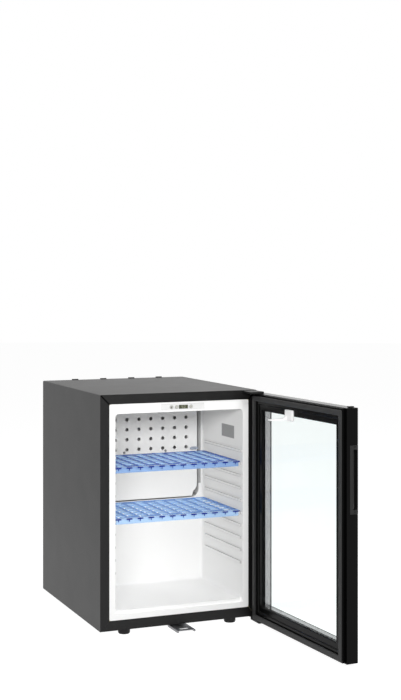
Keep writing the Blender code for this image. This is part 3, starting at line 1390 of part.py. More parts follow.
def make_absorber_coil(unit_y):
    """The absorber coil: a tube that climbs from the vessel in sloping passes to the gas pipe."""
    corners = [(COIL_LEFT_X, unit_y, VESSEL_Z + VESSEL_RADIUS + SEAM)]
    height = VESSEL_Z + VESSEL_RADIUS + COIL_START
    rise = (EVAPORATOR_LOW_Z - COIL_END_DROP - height) / (COIL_PASSES - 1)
    bend = min(COIL_BEND, 0.45 * (rise - COIL_FALL))
    at_left = True
    for _ in range(COIL_PASSES - 1):
        near, far = (COIL_LEFT_X, COIL_RIGHT_X) if at_left else (COIL_RIGHT_X, COIL_LEFT_X)
        corners.append((near, unit_y, height))
        corners.append((far, unit_y, height + COIL_FALL))
        height += rise
        at_left = not at_left
    corners.append((COIL_RIGHT_X, unit_y, height))
    corners.append((EVAPORATOR_X - GAS_PIPE_RADIUS - SEAM, unit_y, height))
    return tube("absorber_coil", bent_path(corners, bend), COIL_RADIUS, "unit_paint")


def make_unit_brackets():
    """Two sheet brackets on the back wall: a cradle under the vessel, and a spacer behind the boiler."""
    unit_y = FRONT + UNIT_Y
    start = BACK_SHEET_REAR + SEAM
    low = VESSEL_Z - CRADLE_LOW
    shoulder = VESSEL_Z - VESSEL_RADIUS / 3
    outline = [(start, low), (unit_y + CRADLE_LIP, low), (unit_y + CRADLE_LIP, VESSEL_Z - CRADLE_LIP_DROP)]
    outline += arc(unit_y, VESSEL_Z, VESSEL_RADIUS + SEAM, -48, -150, 8)
    outline += [(start + BRACKET_SHEET, shoulder), (start, shoulder)]
    left, right = CRADLE_ARMS_X
    cradle = block(
        "vessel_cradle", (left - CRADLE_SIDE, start, low),
        (right + CRADLE_SIDE, start + BRACKET_SHEET, VESSEL_Z + CRADLE_HIGH), "galvanised",
    )
    for k, x in enumerate(CRADLE_ARMS_X):
        arm = flat_piece(f"cradle_arm_{k}", [outline], "X", x - BRACKET_ARM / 2, x + BRACKET_ARM / 2, None)
        join(cradle, arm)
    half = BOILER_SIDE / 2 + SEAM
    wide = SPACER_WIDTH_X / 2
    low, high = BOILER_BOTTOM_Z + SPACER_END, BOILER_TOP_Z - SPACER_END
    spacer = block(
        "boiler_bracket", (BOILER_X - wide, start, low), (BOILER_X + wide, start + BRACKET_SHEET, high),
        "galvanised",
    )
    for k, z in enumerate((low + SPACER_ARM_END, high - SPACER_ARM_END)):
        arm = block(
            f"boiler_arm_{k}",
            (BOILER_X - SPACER_ARM_WIDTH / 2, start + BRACKET_SHEET / 2, z - BRACKET_ARM / 2),
            (BOILER_X + SPACER_ARM_WIDTH / 2, unit_y - half, z + BRACKET_ARM / 2), None,
        )
        join(spacer, arm)


def make_control_box():
    """The junction box on the back wall, and the gland where the mains lead would go in."""
    start = BACK_SHEET_REAR + SEAM
    half = CONTROL_BOX_WIDTH / 2
    low = CONTROL_BOX_Z - CONTROL_BOX_HEIGHT / 2
    box = block(
        "junction_box",
        (CONTROL_BOX_X - half, start, low),
        (CONTROL_BOX_X + half, start + CONTROL_BOX_DEPTH, low + CONTROL_BOX_HEIGHT),
        "black_plastic", bevel=0.003,
    )
    y = start + CONTROL_BOX_DEPTH / 2
    profile = (
        (0.0, 0.0), (GLAND_RADIUS, 0.0), (GLAND_RADIUS, -0.004), (GLAND_RADIUS - 0.0015, -0.0055),
        (GLAND_RADIUS - 0.0015, -0.014), (0.0035, -0.014), (0.0035, -0.004), (0.0, -0.004),
    )
    turned("mains_gland", profile, (CONTROL_BOX_X, y, low - SEAM), "black_plastic", sides=20)
    return box


def make_rear_vent():
    """The louvred strip under the top's rear edge, with hooks that show above the top."""
    half = HALF - SHEET - SEAM
    rear = BACK - 0.0005
    top = HEIGHT - SHEET - SEAM
    strip = inside_outline(VENT_BOTTOM_Z)
    vent = flat_piece("rear_vent_strip", [strip], "Y", rear - VENT_THICKNESS, rear, "black_plastic")
    low, high = VENT_BOTTOM_Z + VENT_SLOT_MARGIN, top - VENT_SLOT_MARGIN
    pitch = 2 * half / (VENT_SLOTS + 1)
    for k in range(VENT_SLOTS):
        x = -half + pitch * (k + 1)
        slot = block(
            f"vent_slot_{k}", (x - VENT_SLOT_WIDTH / 2, rear - 2 * VENT_THICKNESS, low),
            (x + VENT_SLOT_WIDTH / 2, rear + VENT_THICKNESS, high), None,
        )
        cut(vent, slot)
    # a hook's section: out under the top's edge, up behind it and forward over it, with a sloped tip
    behind = BACK + SEAM
    crest = HEIGHT + VENT_HOOK_RISE
    root = rear - VENT_THICKNESS / 2
    section = [
        (root, top - VENT_HOOK_DEPTH), (behind + VENT_HOOK_DEPTH / 2, top - VENT_HOOK_DEPTH),
        (behind + VENT_HOOK_DEPTH / 2, crest - SEAM), (behind, crest), (BACK - VENT_HOOK_REACH / 2, crest),
        (BACK - VENT_HOOK_REACH, HEIGHT + 2 * SEAM), (BACK - VENT_HOOK_REACH, HEIGHT + SEAM),
        (behind, HEIGHT + SEAM), (behind, top - SEAM), (root, top - SEAM),
    ]
    for k, x in enumerate(VENT_HOOKS_X):
        wide = VENT_HOOK_WIDTH / 2
        join(vent, flat_piece(f"vent_hook_{k}", [section], "X", x - wide, x + wide, None))
    return vent


def make_cross_bar():
    """The folded bar that ties the two sides together at the lower rear edge."""
    half = HALF - SHEET - SEAM
    rear = BACK - CROSS_BAR_INSET
    front = rear - CROSS_BAR_DEPTH
    low = PAN_TOP + SEAM
    high = low + CROSS_BAR_HEIGHT
    outline = [
        (rear, low), (rear, high), (front, high), (front, high - SHEET),
        (rear - SHEET, high - SHEET), (rear - SHEET, low + SHEET), (front, low + SHEET), (front, low),
    ]
    return flat_piece("rear_cross_bar", [outline], "X", -half, half, "galvanised")


# The door and its hinges


def bracket_left():
    """Left side of the hinge brackets."""
    return HALF - BRACKET_WIDTH


def bracket_bottom():
    """Underside of the upper hinge bracket, just above the door."""
    return DOOR_TOP_Z + SEAM


def make_hinge_brackets(wrapper):
    """Upper and lower hinge brackets, each with its pin, and the screws of the lower one."""
    left, right = bracket_left(), HALF - SHEET - SEAM
    low = bracket_bottom()
    reach = HINGE.y - BRACKET_REACH
    upper = block(
        "upper_hinge_bracket", (left, reach, low), (right, FRONT + BRACKET_TAIL, low + BRACKET_THICKNESS),
        "black_paint",
    )
    cap = block(
        "hinge_cap", (left, reach, low + SHEET), (right, FRONT - SEAM, low + BRACKET_CAP_THICKNESS),
        None, bevel=0.0012, segments=2,
    )
    pin = rod(
        "upper_pin", PIN_RADIUS, (HINGE.x, HINGE.y, low - PIN_LENGTH), (HINGE.x, HINGE.y, low + SHEET), None
    )
    join(join(upper, cap), pin)
    opening = block(
        "band_notch",
        (left - SEAM, FRONT - SHEET, low - SEAM),
        (right + SEAM, FRONT + 2 * RAIL_THICKNESS, low + BRACKET_THICKNESS + SEAM),
        None,
    )
    cut(wrapper, opening)
    # the lower bracket steps down from the base to pass under the door
    lower_top = -SEAM
    under_door = DOOR_BOTTOM_Z - SEAM
    thick = LOWER_BRACKET_THICKNESS
    step, rear = FRONT + SEAM, FRONT + BRACKET_TAIL + 0.004
    outline = [
        (reach, under_door - thick), (step + thick, under_door - thick), (step + thick, lower_top - thick),
        (rear, lower_top - thick), (rear, lower_top), (step, lower_top), (step, under_door),
        (reach, under_door),
    ]
    lower = flat_piece(
        "lower_hinge_bracket", [outline], "X", HALF - LOWER_BRACKET_WIDTH, HALF - SEAM, "black_paint"
    )
    lower_pin = rod(
        "lower_pin", PIN_RADIUS, (HINGE.x, HINGE.y, under_door - thick / 2),
        (HINGE.x, HINGE.y, DOOR_BOTTOM_Z + PIN_LENGTH), None,
    )
    join(lower, lower_pin)
    for end, (x, y) in zip(("front", "rear"), base_screws()[2:]):
        hole = rod(f"bracket_hole_{end}", SCREW_RADIUS + SEAM, (x, y, -0.010), (x, y, 0.002), None, sides=12)
        cut(lower, hole)
        cut(wrapper, hole)
        profile = screw_profile(SCREW_LENGTH, SCREW_HEAD_RADIUS, 0.0016)
        turned(f"hinge_screw_{end}", profile, (x, y, lower_top - thick - SEAM), "zinc", sides=12)


def make_door():
    """The glazed door, drawn closed under an empty on the hinge axis and then opened."""
    hinge = put("door_hinge", None, "zinc", HINGE)
    hinge.empty_display_size = 0.05
    bar = DOOR_FRAME_BAR
    front = DOOR_THICKNESS
    frame = ring(
        "door_frame",
        [
            (0.0, DOOR_FRAME_BACK), (bar, DOOR_FRAME_BACK), (bar, OUTER_PANE_FRONT + SEAM),
            (bar + DOOR_LIP, OUTER_PANE_FRONT + SEAM), (bar + DOOR_LIP, front),
            (DOOR_CHAMFER, front), (0.0, front - DOOR_CHAMFER),
        ],
        "black_plastic", hinge,
    )
    ring(
        "door_inner_frame",
        [
            (INNER_FRAME_INSET, INNER_FRAME_TOP), (INNER_FRAME_STEP, INNER_FRAME_TOP),
            (INNER_FRAME_STEP + 0.0015, INNER_FRAME_LOW), (INNER_FRAME_EDGE - 0.002, INNER_FRAME_LOW),
            (INNER_FRAME_EDGE, INNER_FRAME_LOW + 0.002), (INNER_FRAME_EDGE, INNER_PANE_BACK - SEAM),
            (bar + SEAM, INNER_PANE_BACK - SEAM), (bar + SEAM, DOOR_FRAME_BACK - SEAM),
            (INNER_FRAME_INSET, DOOR_FRAME_BACK - SEAM),
        ],
        "black_plastic", hinge, reach=INNER_FRAME_REACH,
    )
    outside = GASKET_OUTSIDE
    inside = GASKET_OUTSIDE + GASKET_WIDTH
    base = INNER_FRAME_TOP - SEAM
    ring(
        "door_gasket",
        [
            (outside + 0.0008, 0.0), (inside - 0.0015, 0.0), (inside, 0.0010), (inside, 0.0022),
            (inside - 0.0030, 0.0030), (inside - 0.0010, 0.0040), (inside - 0.0010, base),
            (INNER_FRAME_INSET + 0.001, base), (INNER_FRAME_INSET + 0.001, 0.0040),
            (outside + 0.0028, 0.0030), (outside, 0.0022), (outside, 0.0008),
        ],
        "gasket_rubber", hinge,
    )
    make_glazing(hinge, bar)
    make_bushes(hinge, frame)
    make_grip(hinge, frame)
    make_switch_arm(hinge)
    block(
        "door_top_plug",
        (-DOOR_HALF + 0.002, DOOR_FACE - 0.019 - PLUG_WIDTH, DOOR_TOP_Z + SEAM),
        (-DOOR_HALF + 0.002 + PLUG_LENGTH, DOOR_FACE - 0.019, DOOR_TOP_Z + PLUG_HEIGHT),
        "black_plastic", hinge, bevel=0.0008, segments=1,
    )
    hinge.rotation_euler = (0.0, 0.0, math.radians(OPEN_ANGLE))


def make_glazing(hinge, bar):
    """Two panes with a metal spacer between them, seated in the frame."""
    edge = bar + SEAM
    half = DOOR_HALF - edge
    low, high = DOOR_BOTTOM_Z + edge, DOOR_TOP_Z - edge
    planes = {
        "inner_glass": (INNER_PANE_BACK, INNER_PANE_BACK + PANE_THICKNESS),
        "outer_glass": (OUTER_PANE_FRONT - PANE_THICKNESS, OUTER_PANE_FRONT),
    }
    for name, (near, far) in planes.items():
        block(name, (-half, DOOR_FACE - far, low), (half, DOOR_FACE - near, high), "clear_glass", hinge)
    near = planes["inner_glass"][1] + SEAM
    far = planes["outer_glass"][0] - SEAM
    ring(
        "glass_spacer",
        [(edge, near), (edge + SPACER_WIDTH, near), (edge + SPACER_WIDTH, far), (edge, far)],
        "spacer_metal", hinge,
    )


def make_bushes(hinge, frame):
    """A flanged bush in the frame's top and bottom for the hinge pins."""
    x, y = HINGE.x, HINGE.y
    for name, mouth, inward in (("upper_hinge_bush", DOOR_TOP_Z, -1), ("lower_hinge_bush", DOOR_BOTTOM_Z, 1)):
        seat = rod(
            f"{name}_seat", BUSH_RADIUS + SEAM / 2,
            (x, y, mouth - inward * 0.002), (x, y, mouth + inward * (BUSH_LENGTH + SEAM)), None, hinge,
        )
        cut(frame, seat)
        bush = rod(
            name, BUSH_RADIUS, (x, y, mouth), (x, y, mouth + inward * BUSH_LENGTH), "white_plastic", hinge
        )
        bore = rod(
            f"{name}_bore", PIN_RADIUS + PIN_CLEARANCE,
            (x, y, mouth - inward * 0.002), (x, y, mouth + inward * (PIN_LENGTH + SEAM)), None, hinge,
        )
        cut(bush, bore)


def make_grip(hinge, frame):
    """The recessed grip let into the free edge, and its two screws."""
    left = -DOOR_HALF
    near, far = DOOR_FACE - GRIP_BACK, DOOR_FACE - DOOR_THICKNESS
    pocket = block(
        "grip_pocket",
        (left - 0.002, far - 0.002, GRIP_BOTTOM_Z),
        (left + GRIP_DEPTH, near, GRIP_TOP_Z), None, hinge,
    )
    cut(frame, pocket)
    grip = block(
        "grip_insert",
        (left + SEAM, far + SEAM, GRIP_BOTTOM_Z + SEAM),
        (left + GRIP_DEPTH - SEAM, near - SEAM, GRIP_TOP_Z - SEAM),
        "black_plastic", hinge, bevel=0.0010, segments=1,
    )
    scoop = block(
        "grip_scoop",
        (left - 0.010, DOOR_FACE - SCOOP_FRONT, GRIP_BOTTOM_Z + GRIP_END),
        (left + SCOOP_DEPTH, DOOR_FACE - SCOOP_BACK, GRIP_TOP_Z - GRIP_END), None, hinge,
        bevel=0.004, segments=3,
    )
    cut(grip, scoop)
    middle = (DOOR_FACE - SCOOP_BACK + DOOR_FACE - SCOOP_FRONT) / 2
    for end, z in (("lower", GRIP_BOTTOM_Z + GRIP_END / 2), ("upper", GRIP_TOP_Z - GRIP_END / 2)):
        sink = rod(
            f"grip_sink_{end}", SCREW_HEAD_RADIUS * 0.8 + SEAM,
            (left - 0.002, middle, z), (left + 0.0020, middle, z), None, hinge, sides=12,
        )
        cut(grip, sink)
        rod(
            f"grip_screw_{end}", SCREW_HEAD_RADIUS * 0.8,
            (left + 0.0004, middle, z), (left + 0.0020 - SEAM, middle, z), "zinc", hinge, sides=12,
        )


def make_switch_arm(hinge):
    """The white arm on the door's inner side that works the lamp switch when the door closes."""
    seat = DOOR_FACE - INNER_FRAME_LOW + SEAM
    out = seat + ARM_BLOCK_THICKNESS
    half = ARM_BLOCK_WIDTH / 2
    arm = block(
        "lamp_switch_arm",
        (ARM_BLOCK_X - half, seat, ARM_BLOCK_BOTTOM_Z), (ARM_BLOCK_X + half, out, ARM_BLOCK_TOP_Z),
        "white_plastic", hinge, bevel=0.0025, segments=3,
    )
    right = ARM_BLOCK_X + half - 0.001
    # a tapering finger with a web under its root, drawn from the side
    tip = out + ARM_REACH
    root = out - ARM_BLOCK_THICKNESS / 2
    low = ARM_BLOCK_BOTTOM_Z + 0.001
    outline = [
        (root, low), (tip - 0.002, low + 0.0008), (tip, low + 0.0020), (tip - 0.001, low + ARM_HEIGHT * 0.8),
        (out + 1.5 * ARM_WEB, low + ARM_HEIGHT), (out + 0.5 * ARM_WEB, low + ARM_HEIGHT + 0.3 * ARM_WEB),
        (out, low + ARM_HEIGHT + ARM_WEB), (root, low + ARM_HEIGHT + ARM_WEB),
    ]
    finger = flat_piece("arm_finger", [outline], "X", right - ARM_WIDTH, right, None, hinge)
    return join(arm, finger)


def main():
    wrapper = make_wrapper()
    make_bottom_band()
    make_base_pan()
    make_feet()
    make_lock_plate()
    make_liner()
    make_insulation()
    make_back_wall()
    make_cover()
    make_cooling_plate()
    make_cover_screws()
    make_sensor()
    make_housing()
    make_controls()
    for name, level in SHELVES:
        make_shelf(name, level)
    make_cooling_unit()
    make_unit_brackets()
    make_control_box()
    make_rear_vent()
    make_cross_bar()
    make_hinge_brackets(wrapper)
    make_door()
    bpy.context.view_layer.update()


main()
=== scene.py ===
# %% [markdown]
# # A minibar fridge with its glazed door open
#
# This file dresses a minibar fridge. The exact solids come ready made, one object per part, and
# everything here is about what the eye sees: paint, moulded plastic, glass, rubber, light.
# Each cell does one small thing and says what it made.

# %% Load the solids
import json
import math

import bmesh
import bpy
from mathutils import Matrix, Vector
from mathutils.bvhtree import BVHTree

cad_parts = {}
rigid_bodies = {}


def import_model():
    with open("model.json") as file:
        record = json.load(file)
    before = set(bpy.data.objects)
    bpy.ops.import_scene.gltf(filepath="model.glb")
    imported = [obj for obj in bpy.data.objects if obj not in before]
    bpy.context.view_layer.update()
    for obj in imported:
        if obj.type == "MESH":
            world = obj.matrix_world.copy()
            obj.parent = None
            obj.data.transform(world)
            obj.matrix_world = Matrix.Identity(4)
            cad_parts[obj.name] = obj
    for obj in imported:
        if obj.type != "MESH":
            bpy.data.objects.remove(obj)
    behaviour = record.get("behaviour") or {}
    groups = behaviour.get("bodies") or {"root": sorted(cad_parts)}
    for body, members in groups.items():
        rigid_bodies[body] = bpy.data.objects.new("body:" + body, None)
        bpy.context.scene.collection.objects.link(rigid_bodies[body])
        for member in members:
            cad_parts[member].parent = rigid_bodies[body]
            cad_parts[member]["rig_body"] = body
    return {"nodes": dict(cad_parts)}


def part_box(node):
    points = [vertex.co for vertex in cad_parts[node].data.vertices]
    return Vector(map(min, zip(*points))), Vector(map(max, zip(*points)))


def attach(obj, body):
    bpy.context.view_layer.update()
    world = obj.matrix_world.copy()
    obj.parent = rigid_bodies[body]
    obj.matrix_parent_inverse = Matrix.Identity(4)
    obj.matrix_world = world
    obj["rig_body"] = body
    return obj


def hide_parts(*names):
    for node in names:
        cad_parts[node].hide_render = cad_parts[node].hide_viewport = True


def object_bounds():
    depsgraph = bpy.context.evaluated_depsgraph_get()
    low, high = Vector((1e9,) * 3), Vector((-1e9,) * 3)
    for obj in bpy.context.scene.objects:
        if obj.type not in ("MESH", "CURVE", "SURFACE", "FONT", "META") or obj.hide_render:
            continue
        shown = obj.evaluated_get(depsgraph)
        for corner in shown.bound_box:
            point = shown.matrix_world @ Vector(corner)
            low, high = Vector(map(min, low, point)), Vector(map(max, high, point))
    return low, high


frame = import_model()
solids = frame["nodes"]
solid_low, solid_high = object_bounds()

# %% [markdown]
# ## The camera
#
# The camera stands where the picture was taken from: to the left of the fridge, about three
# metres away and a quarter of a metre above its top. It could be tilted down at the fridge, but
# then upright edges would lean. So it looks level, and the lens is shifted downwards, and
# sideways too, because the picture is a crop of a larger one.

# %% Camera
TURN = math.radians(21.965)
LENS, SENSOR = 66.336, 36
SHIFT_X, SHIFT_Y = 0.05071, -0.09960
NEAR, FAR = 0.05, 60
CAMERA_PLACE = Vector((-1.180481, -3.060429, 0.816248))


def make_camera():
    data = bpy.data.cameras.new("picture_camera")
    data.lens, data.sensor_width = LENS, SENSOR
    data.shift_x, data.shift_y = SHIFT_X, SHIFT_Y
    data.clip_start, data.clip_end = NEAR, FAR
    camera = bpy.data.objects.new("picture_camera", data)
    bpy.context.scene.collection.objects.link(camera)
    camera.location = CAMERA_PLACE
    camera.rotation_euler = (math.radians(90), 0, -TURN)
    bpy.context.scene.camera = camera
    return camera


camera = make_camera()
print("camera", tuple(round(v, 3) for v in camera.location), "lens", LENS)

# %% [markdown]
# ## Light and floor
#
# The fridge was photographed under the large soft lamps of a studio. Four area lamps do the same.
# A sun would be simpler, but its light is hard and can't look in under the housing. The front
# lamp hangs low, so that it reaches the perforated cover there, and the high lamp reaches the
# bottom of the lining.

# %% Lamps
LAMPS = (  # name, place, aim, width, height and watts
    ("front_lamp", (-1.0, -2.5, 1.12), (0, 0, 0.25), 1.3, 0.5, 43),
    ("high_lamp", (0.5, -2.0, 2.1), (0, -0.2, 0.2), 1.2, 0.8, 29),
    ("left_lamp", (-2.4, 0.5, 1.2), (0, 0, 0.3), 2.0, 2.0, 16),
    ("top_lamp", (0.2, 0.0, 2.4), (0, -0.05, 0.3), 2.4, 2.4, 21),
)


def make_lamp(name, place, aim, width, height, watts):
    data = bpy.data.lights.new(name, "AREA")
    data.shape = "RECTANGLE"
    data.size, data.size_y = width, height
    data.energy = watts
    lamp = bpy.data.objects.new(name, data)
    bpy.context.scene.collection.objects.link(lamp)
    lamp.location = place
    lamp.rotation_euler = (Vector(aim) - Vector(place)).to_track_quat("-Z", "Y").to_euler()
    return lamp


lamps = [make_lamp(*lamp) for lamp in LAMPS]
print(len(lamps), "lamps")

# %% [markdown]
# Materials, the world and the floor are all made of nodes. Each could be set up line by line, but
# the same few lines would come back a hundred times, so short functions add a node with its
# values, take the larger of two masks and choose between two shaders. A socket's name is written
# with an underscore for each space.


# %% Helpers for shader nodes
def set_sockets(node, **values):
    for label, value in values.items():
        node.inputs[label.replace("_", " ")].default_value = value


def add_node(nodes, kind, **values):
    node = nodes.new(f"ShaderNode{kind}")
    set_sockets(node, **values)
    return node


def add_math(nodes, operation):
    node = nodes.new("ShaderNodeMath")
    node.operation = operation
    return node


def larger_of(nodes, links, first, second):
    """The larger of two masks: 1 where either of them is."""
    node = add_math(nodes, "MAXIMUM")
    links.new(first, node.inputs[0])
    links.new(second, node.inputs[1])
    return node.outputs[0]


def add_choice(nodes, links, mask, where_0, where_1):
    """Shows one shader where the mask is 0 and the other where it is 1."""
    mix = nodes.new("ShaderNodeMixShader")
    links.new(mask, mix.inputs[0])
    links.new(where_0.outputs[0], mix.inputs[1])
    links.new(where_1.outputs[0], mix.inputs[2])
    return mix.outputs[0]


def seen_directly(nodes, links):
    """1 for rays that should meet the plain white page, 0 for rays that carry light."""
    rays = nodes.new("ShaderNodeLightPath").outputs
    seen = larger_of(nodes, links, rays["Is Camera Ray"], rays["Is Glossy Ray"])
    return larger_of(nodes, links, seen, rays["Is Transmission Ray"])


def grey(level):
    return (level, level, level, 1)


print("a mid grey is written", grey(0.5))

# %% [markdown]
# The photograph is a cut-out on pure white. A world of full strength would give that page, but it
# would also flood the inside of the fridge. A Light Path node tells the rays apart: the camera,
# gloss and glass see white, and the rays that carry light find a weak fill.

# %% World
PAGE, FILL = 1.0, 0.17


def make_world():
    world = bpy.data.worlds.new("white_studio")
    bpy.context.scene.world = world
    world.use_nodes = True
    nodes, links = world.node_tree.nodes, world.node_tree.links
    nodes.clear()
    page = add_node(nodes, "Background", Color=grey(1), Strength=PAGE)
    fill = add_node(nodes, "Background", Color=grey(1), Strength=FILL)
    out = nodes.new("ShaderNodeOutputWorld")
    shown = add_choice(nodes, links, seen_directly(nodes, links), fill, page)
    links.new(shown, out.inputs["Surface"])
    return world


print("world", make_world().name, "with a fill of", FILL)

# %% [markdown]
# The floor is as white as the page and still takes the faint shadow round the feet. A shadow
# catcher would need a compositor. Instead the floor glows a little for the rays that see it and
# has a diffuse paper on top, and for the rays that carry light it is a plain grey.

# %% Floor
FLOOR_LEVEL = solid_low.z
FLOOR_RADIUS, FLOOR_SIDES = 14, 64
PAPER, GLOW, PLAIN = 0.24, 0.94, 0.50


def make_page():
    material = bpy.data.materials.new("white_page")
    material.use_nodes = True
    nodes, links = material.node_tree.nodes, material.node_tree.links
    nodes.clear()
    paper = add_node(nodes, "BsdfDiffuse", Color=grey(PAPER))
    glow = add_node(nodes, "Emission", Color=grey(1), Strength=GLOW)
    both = nodes.new("ShaderNodeAddShader")
    links.new(paper.outputs[0], both.inputs[0])
    links.new(glow.outputs[0], both.inputs[1])
    plain = add_node(nodes, "BsdfDiffuse", Color=grey(PLAIN))
    out = nodes.new("ShaderNodeOutputMaterial")
    shown = add_choice(nodes, links, seen_directly(nodes, links), plain, both)
    links.new(shown, out.inputs["Surface"])
    return material


def make_floor():
    shape = bmesh.new()
    bmesh.ops.create_circle(shape, cap_ends=True, segments=FLOOR_SIDES, radius=FLOOR_RADIUS)
    bmesh.ops.translate(shape, verts=shape.verts, vec=(0, 0, FLOOR_LEVEL))
    mesh = bpy.data.meshes.new("studio_floor")
    shape.to_mesh(mesh)
    shape.free()
    mesh.materials.append(make_page())
    floor = bpy.data.objects.new("studio_floor", mesh)
    bpy.context.scene.collection.objects.link(floor)
    return floor


floor = make_floor()
bpy.context.scene.view_settings.view_transform = "Standard"
print(floor.name, "at", round(FLOOR_LEVEL, 4))

# %% [markdown]
# ## Effects that several finishes share
#
# Sprayed paint, moulded plastic and rubber all have a fine skin that breaks up a highlight, a
# slow drift of colour, and a little dust on what faces up. Each of these is one node group with
# its own numbers, so that a finish only says how much of each it has.
#
# The skin could be real relief, but it is some hundredths of a millimetre deep. A Bump node turns
# the shading instead, fed by a soft noise for the swell and by small cells for the grain.

# %% The skin
GRAIN_FINER = 2.7
MIX_A, MIX_B = 2, 3  # a Mix node's sockets for plain numbers


def new_group(name, inputs, outputs):
    group = bpy.data.node_groups.new(name, "ShaderNodeTree")
    for label, kind, value in inputs:
        group.interface.new_socket(label, in_out="INPUT", socket_type=kind).default_value = value
    for label, kind in outputs:
        group.interface.new_socket(label, in_out="OUTPUT", socket_type=kind)
    return group, group.nodes.new("NodeGroupInput"), group.nodes.new("NodeGroupOutput")


def make_skin_group():
    """Fine bumps: a broad swell, as orange peel has, and a finer grain on top."""
    group, given, result = new_group(
        "moulded skin",
        [
            ("Scale", "NodeSocketFloat", 600.0),
            ("Grain", "NodeSocketFloat", 0.35),
            ("Depth", "NodeSocketFloat", 0.00004),
        ],
        [("Normal", "NodeSocketVector")],
    )
    nodes, links = group.nodes, group.links
    where = nodes.new("ShaderNodeTexCoord")
    swell = add_node(nodes, "TexNoise", Detail=2)
    grain = nodes.new("ShaderNodeTexVoronoi")
    finer = add_math(nodes, "MULTIPLY")
    finer.inputs[1].default_value = GRAIN_FINER
    links.new(given.outputs["Scale"], swell.inputs["Scale"])
    links.new(given.outputs["Scale"], finer.inputs[0])
    links.new(finer.outputs[0], grain.inputs["Scale"])
    links.new(where.outputs["Object"], swell.inputs["Vector"])
    links.new(where.outputs["Object"], grain.inputs["Vector"])
    mix = nodes.new("ShaderNodeMix")
    links.new(given.outputs["Grain"], mix.inputs["Factor"])
    links.new(swell.outputs["Fac"], mix.inputs[MIX_A])
    links.new(grain.outputs["Distance"], mix.inputs[MIX_B])
    bump = add_node(nodes, "Bump", Strength=1.0)
    links.new(given.outputs["Depth"], bump.inputs["Distance"])
    links.new(mix.outputs[0], bump.inputs["Height"])
    links.new(bump.outputs["Normal"], result.inputs["Normal"])
    return group


SKIN = make_skin_group()
print("shared effect:", SKIN.name)

# %% [markdown]
# No sheet or moulding is of one tone all over. The drift could be painted, but noise needs no
# picture and has no seams. It is centred on nothing, so that the mean colour stays as written.


# %% The drift
def make_drift_group():
    """A slow drift between two tones, for colour and for roughness."""
    group, given, result = new_group(
        "slow drift",
        [
            ("Color", "NodeSocketColor", grey(0.5)),
            ("Amount", "NodeSocketFloat", 0.1),
            ("Scale", "NodeSocketFloat", 14.0),
            ("Roughness", "NodeSocketFloat", 0.4),
            ("Spread", "NodeSocketFloat", 0.05),
        ],
        [("Color", "NodeSocketColor"), ("Roughness", "NodeSocketFloat")],
    )
    nodes, links = group.nodes, group.links
    where = nodes.new("ShaderNodeTexCoord")
    noise = add_node(nodes, "TexNoise", Detail=4, Roughness=0.6)
    links.new(where.outputs["Object"], noise.inputs["Vector"])
    links.new(given.outputs["Scale"], noise.inputs["Scale"])
    centred = add_math(nodes, "SUBTRACT")
    centred.inputs[1].default_value = 0.5
    links.new(noise.outputs["Fac"], centred.inputs[0])
    shade = add_math(nodes, "MULTIPLY_ADD")
    shade.inputs[2].default_value = 1.0
    links.new(centred.outputs[0], shade.inputs[0])
    links.new(given.outputs["Amount"], shade.inputs[1])
    tone = nodes.new("ShaderNodeVectorMath")
    tone.operation = "SCALE"
    links.new(given.outputs["Color"], tone.inputs[0])
    links.new(shade.outputs[0], tone.inputs["Scale"])
    rough = add_math(nodes, "MULTIPLY_ADD")
    links.new(centred.outputs[0], rough.inputs[0])
    links.new(given.outputs["Spread"], rough.inputs[1])
    links.new(given.outputs["Roughness"], rough.inputs[2])
    links.new(tone.outputs[0], result.inputs["Color"])
    links.new(rough.outputs[0], result.inputs["Roughness"])
    return group


DRIFT = make_drift_group()
print("shared effect:", DRIFT.name)

# %% [markdown]
# Dust settles on the top of the cabinet and of the door and on the unit's tubes. Scattered grains
# would cost many faces, so the colour and roughness change instead, where the surface's normal
# points up.

# %% The dust
DUST_ROUGHENS = 0.8
COLOR_A, COLOR_B, COLOR_RESULT = 6, 7, 2  # the Mix node's sockets for colours


def make_dust_group():
    """Dust lies only on what faces up, in patches."""
    group, given, result = new_group(
        "settled dust",
        [
            ("Color", "NodeSocketColor", grey(0.5)),
            ("Roughness", "NodeSocketFloat", 0.4),
            ("Dust", "NodeSocketColor", (0.45, 0.44, 0.42, 1)),
            ("Amount", "NodeSocketFloat", 0.05),
        ],
        [("Color", "NodeSocketColor"), ("Roughness", "NodeSocketFloat")],
    )
    nodes, links = group.nodes, group.links
    surface = nodes.new("ShaderNodeNewGeometry")
    split = nodes.new("ShaderNodeSeparateXYZ")
    links.new(surface.outputs["Normal"], split.inputs[0])
    up = add_node(nodes, "MapRange", From_Min=0.55, From_Max=0.98)
    links.new(split.outputs["Z"], up.inputs["Value"])
    where = nodes.new("ShaderNodeTexCoord")
    patches = add_node(nodes, "TexNoise", Scale=46.0, Detail=5)
    links.new(where.outputs["Object"], patches.inputs["Vector"])
    mask = add_math(nodes, "MULTIPLY")
    links.new(up.outputs["Result"], mask.inputs[0])
    links.new(patches.outputs["Fac"], mask.inputs[1])
    amount = add_math(nodes, "MULTIPLY")
    links.new(mask.outputs[0], amount.inputs[0])
    links.new(given.outputs["Amount"], amount.inputs[1])
    mix = nodes.new("ShaderNodeMix")
    mix.data_type = "RGBA"
    links.new(amount.outputs[0], mix.inputs["Factor"])
    links.new(given.outputs["Color"], mix.inputs[COLOR_A])
    links.new(given.outputs["Dust"], mix.inputs[COLOR_B])
    rough = add_math(nodes, "MULTIPLY_ADD")
    rough.inputs[1].default_value = DUST_ROUGHENS
    links.new(amount.outputs[0], rough.inputs[0])
    links.new(given.outputs["Roughness"], rough.inputs[2])
    links.new(mix.outputs[COLOR_RESULT], result.inputs["Color"])
    links.new(rough.outputs[0], result.inputs["Roughness"])
    return group


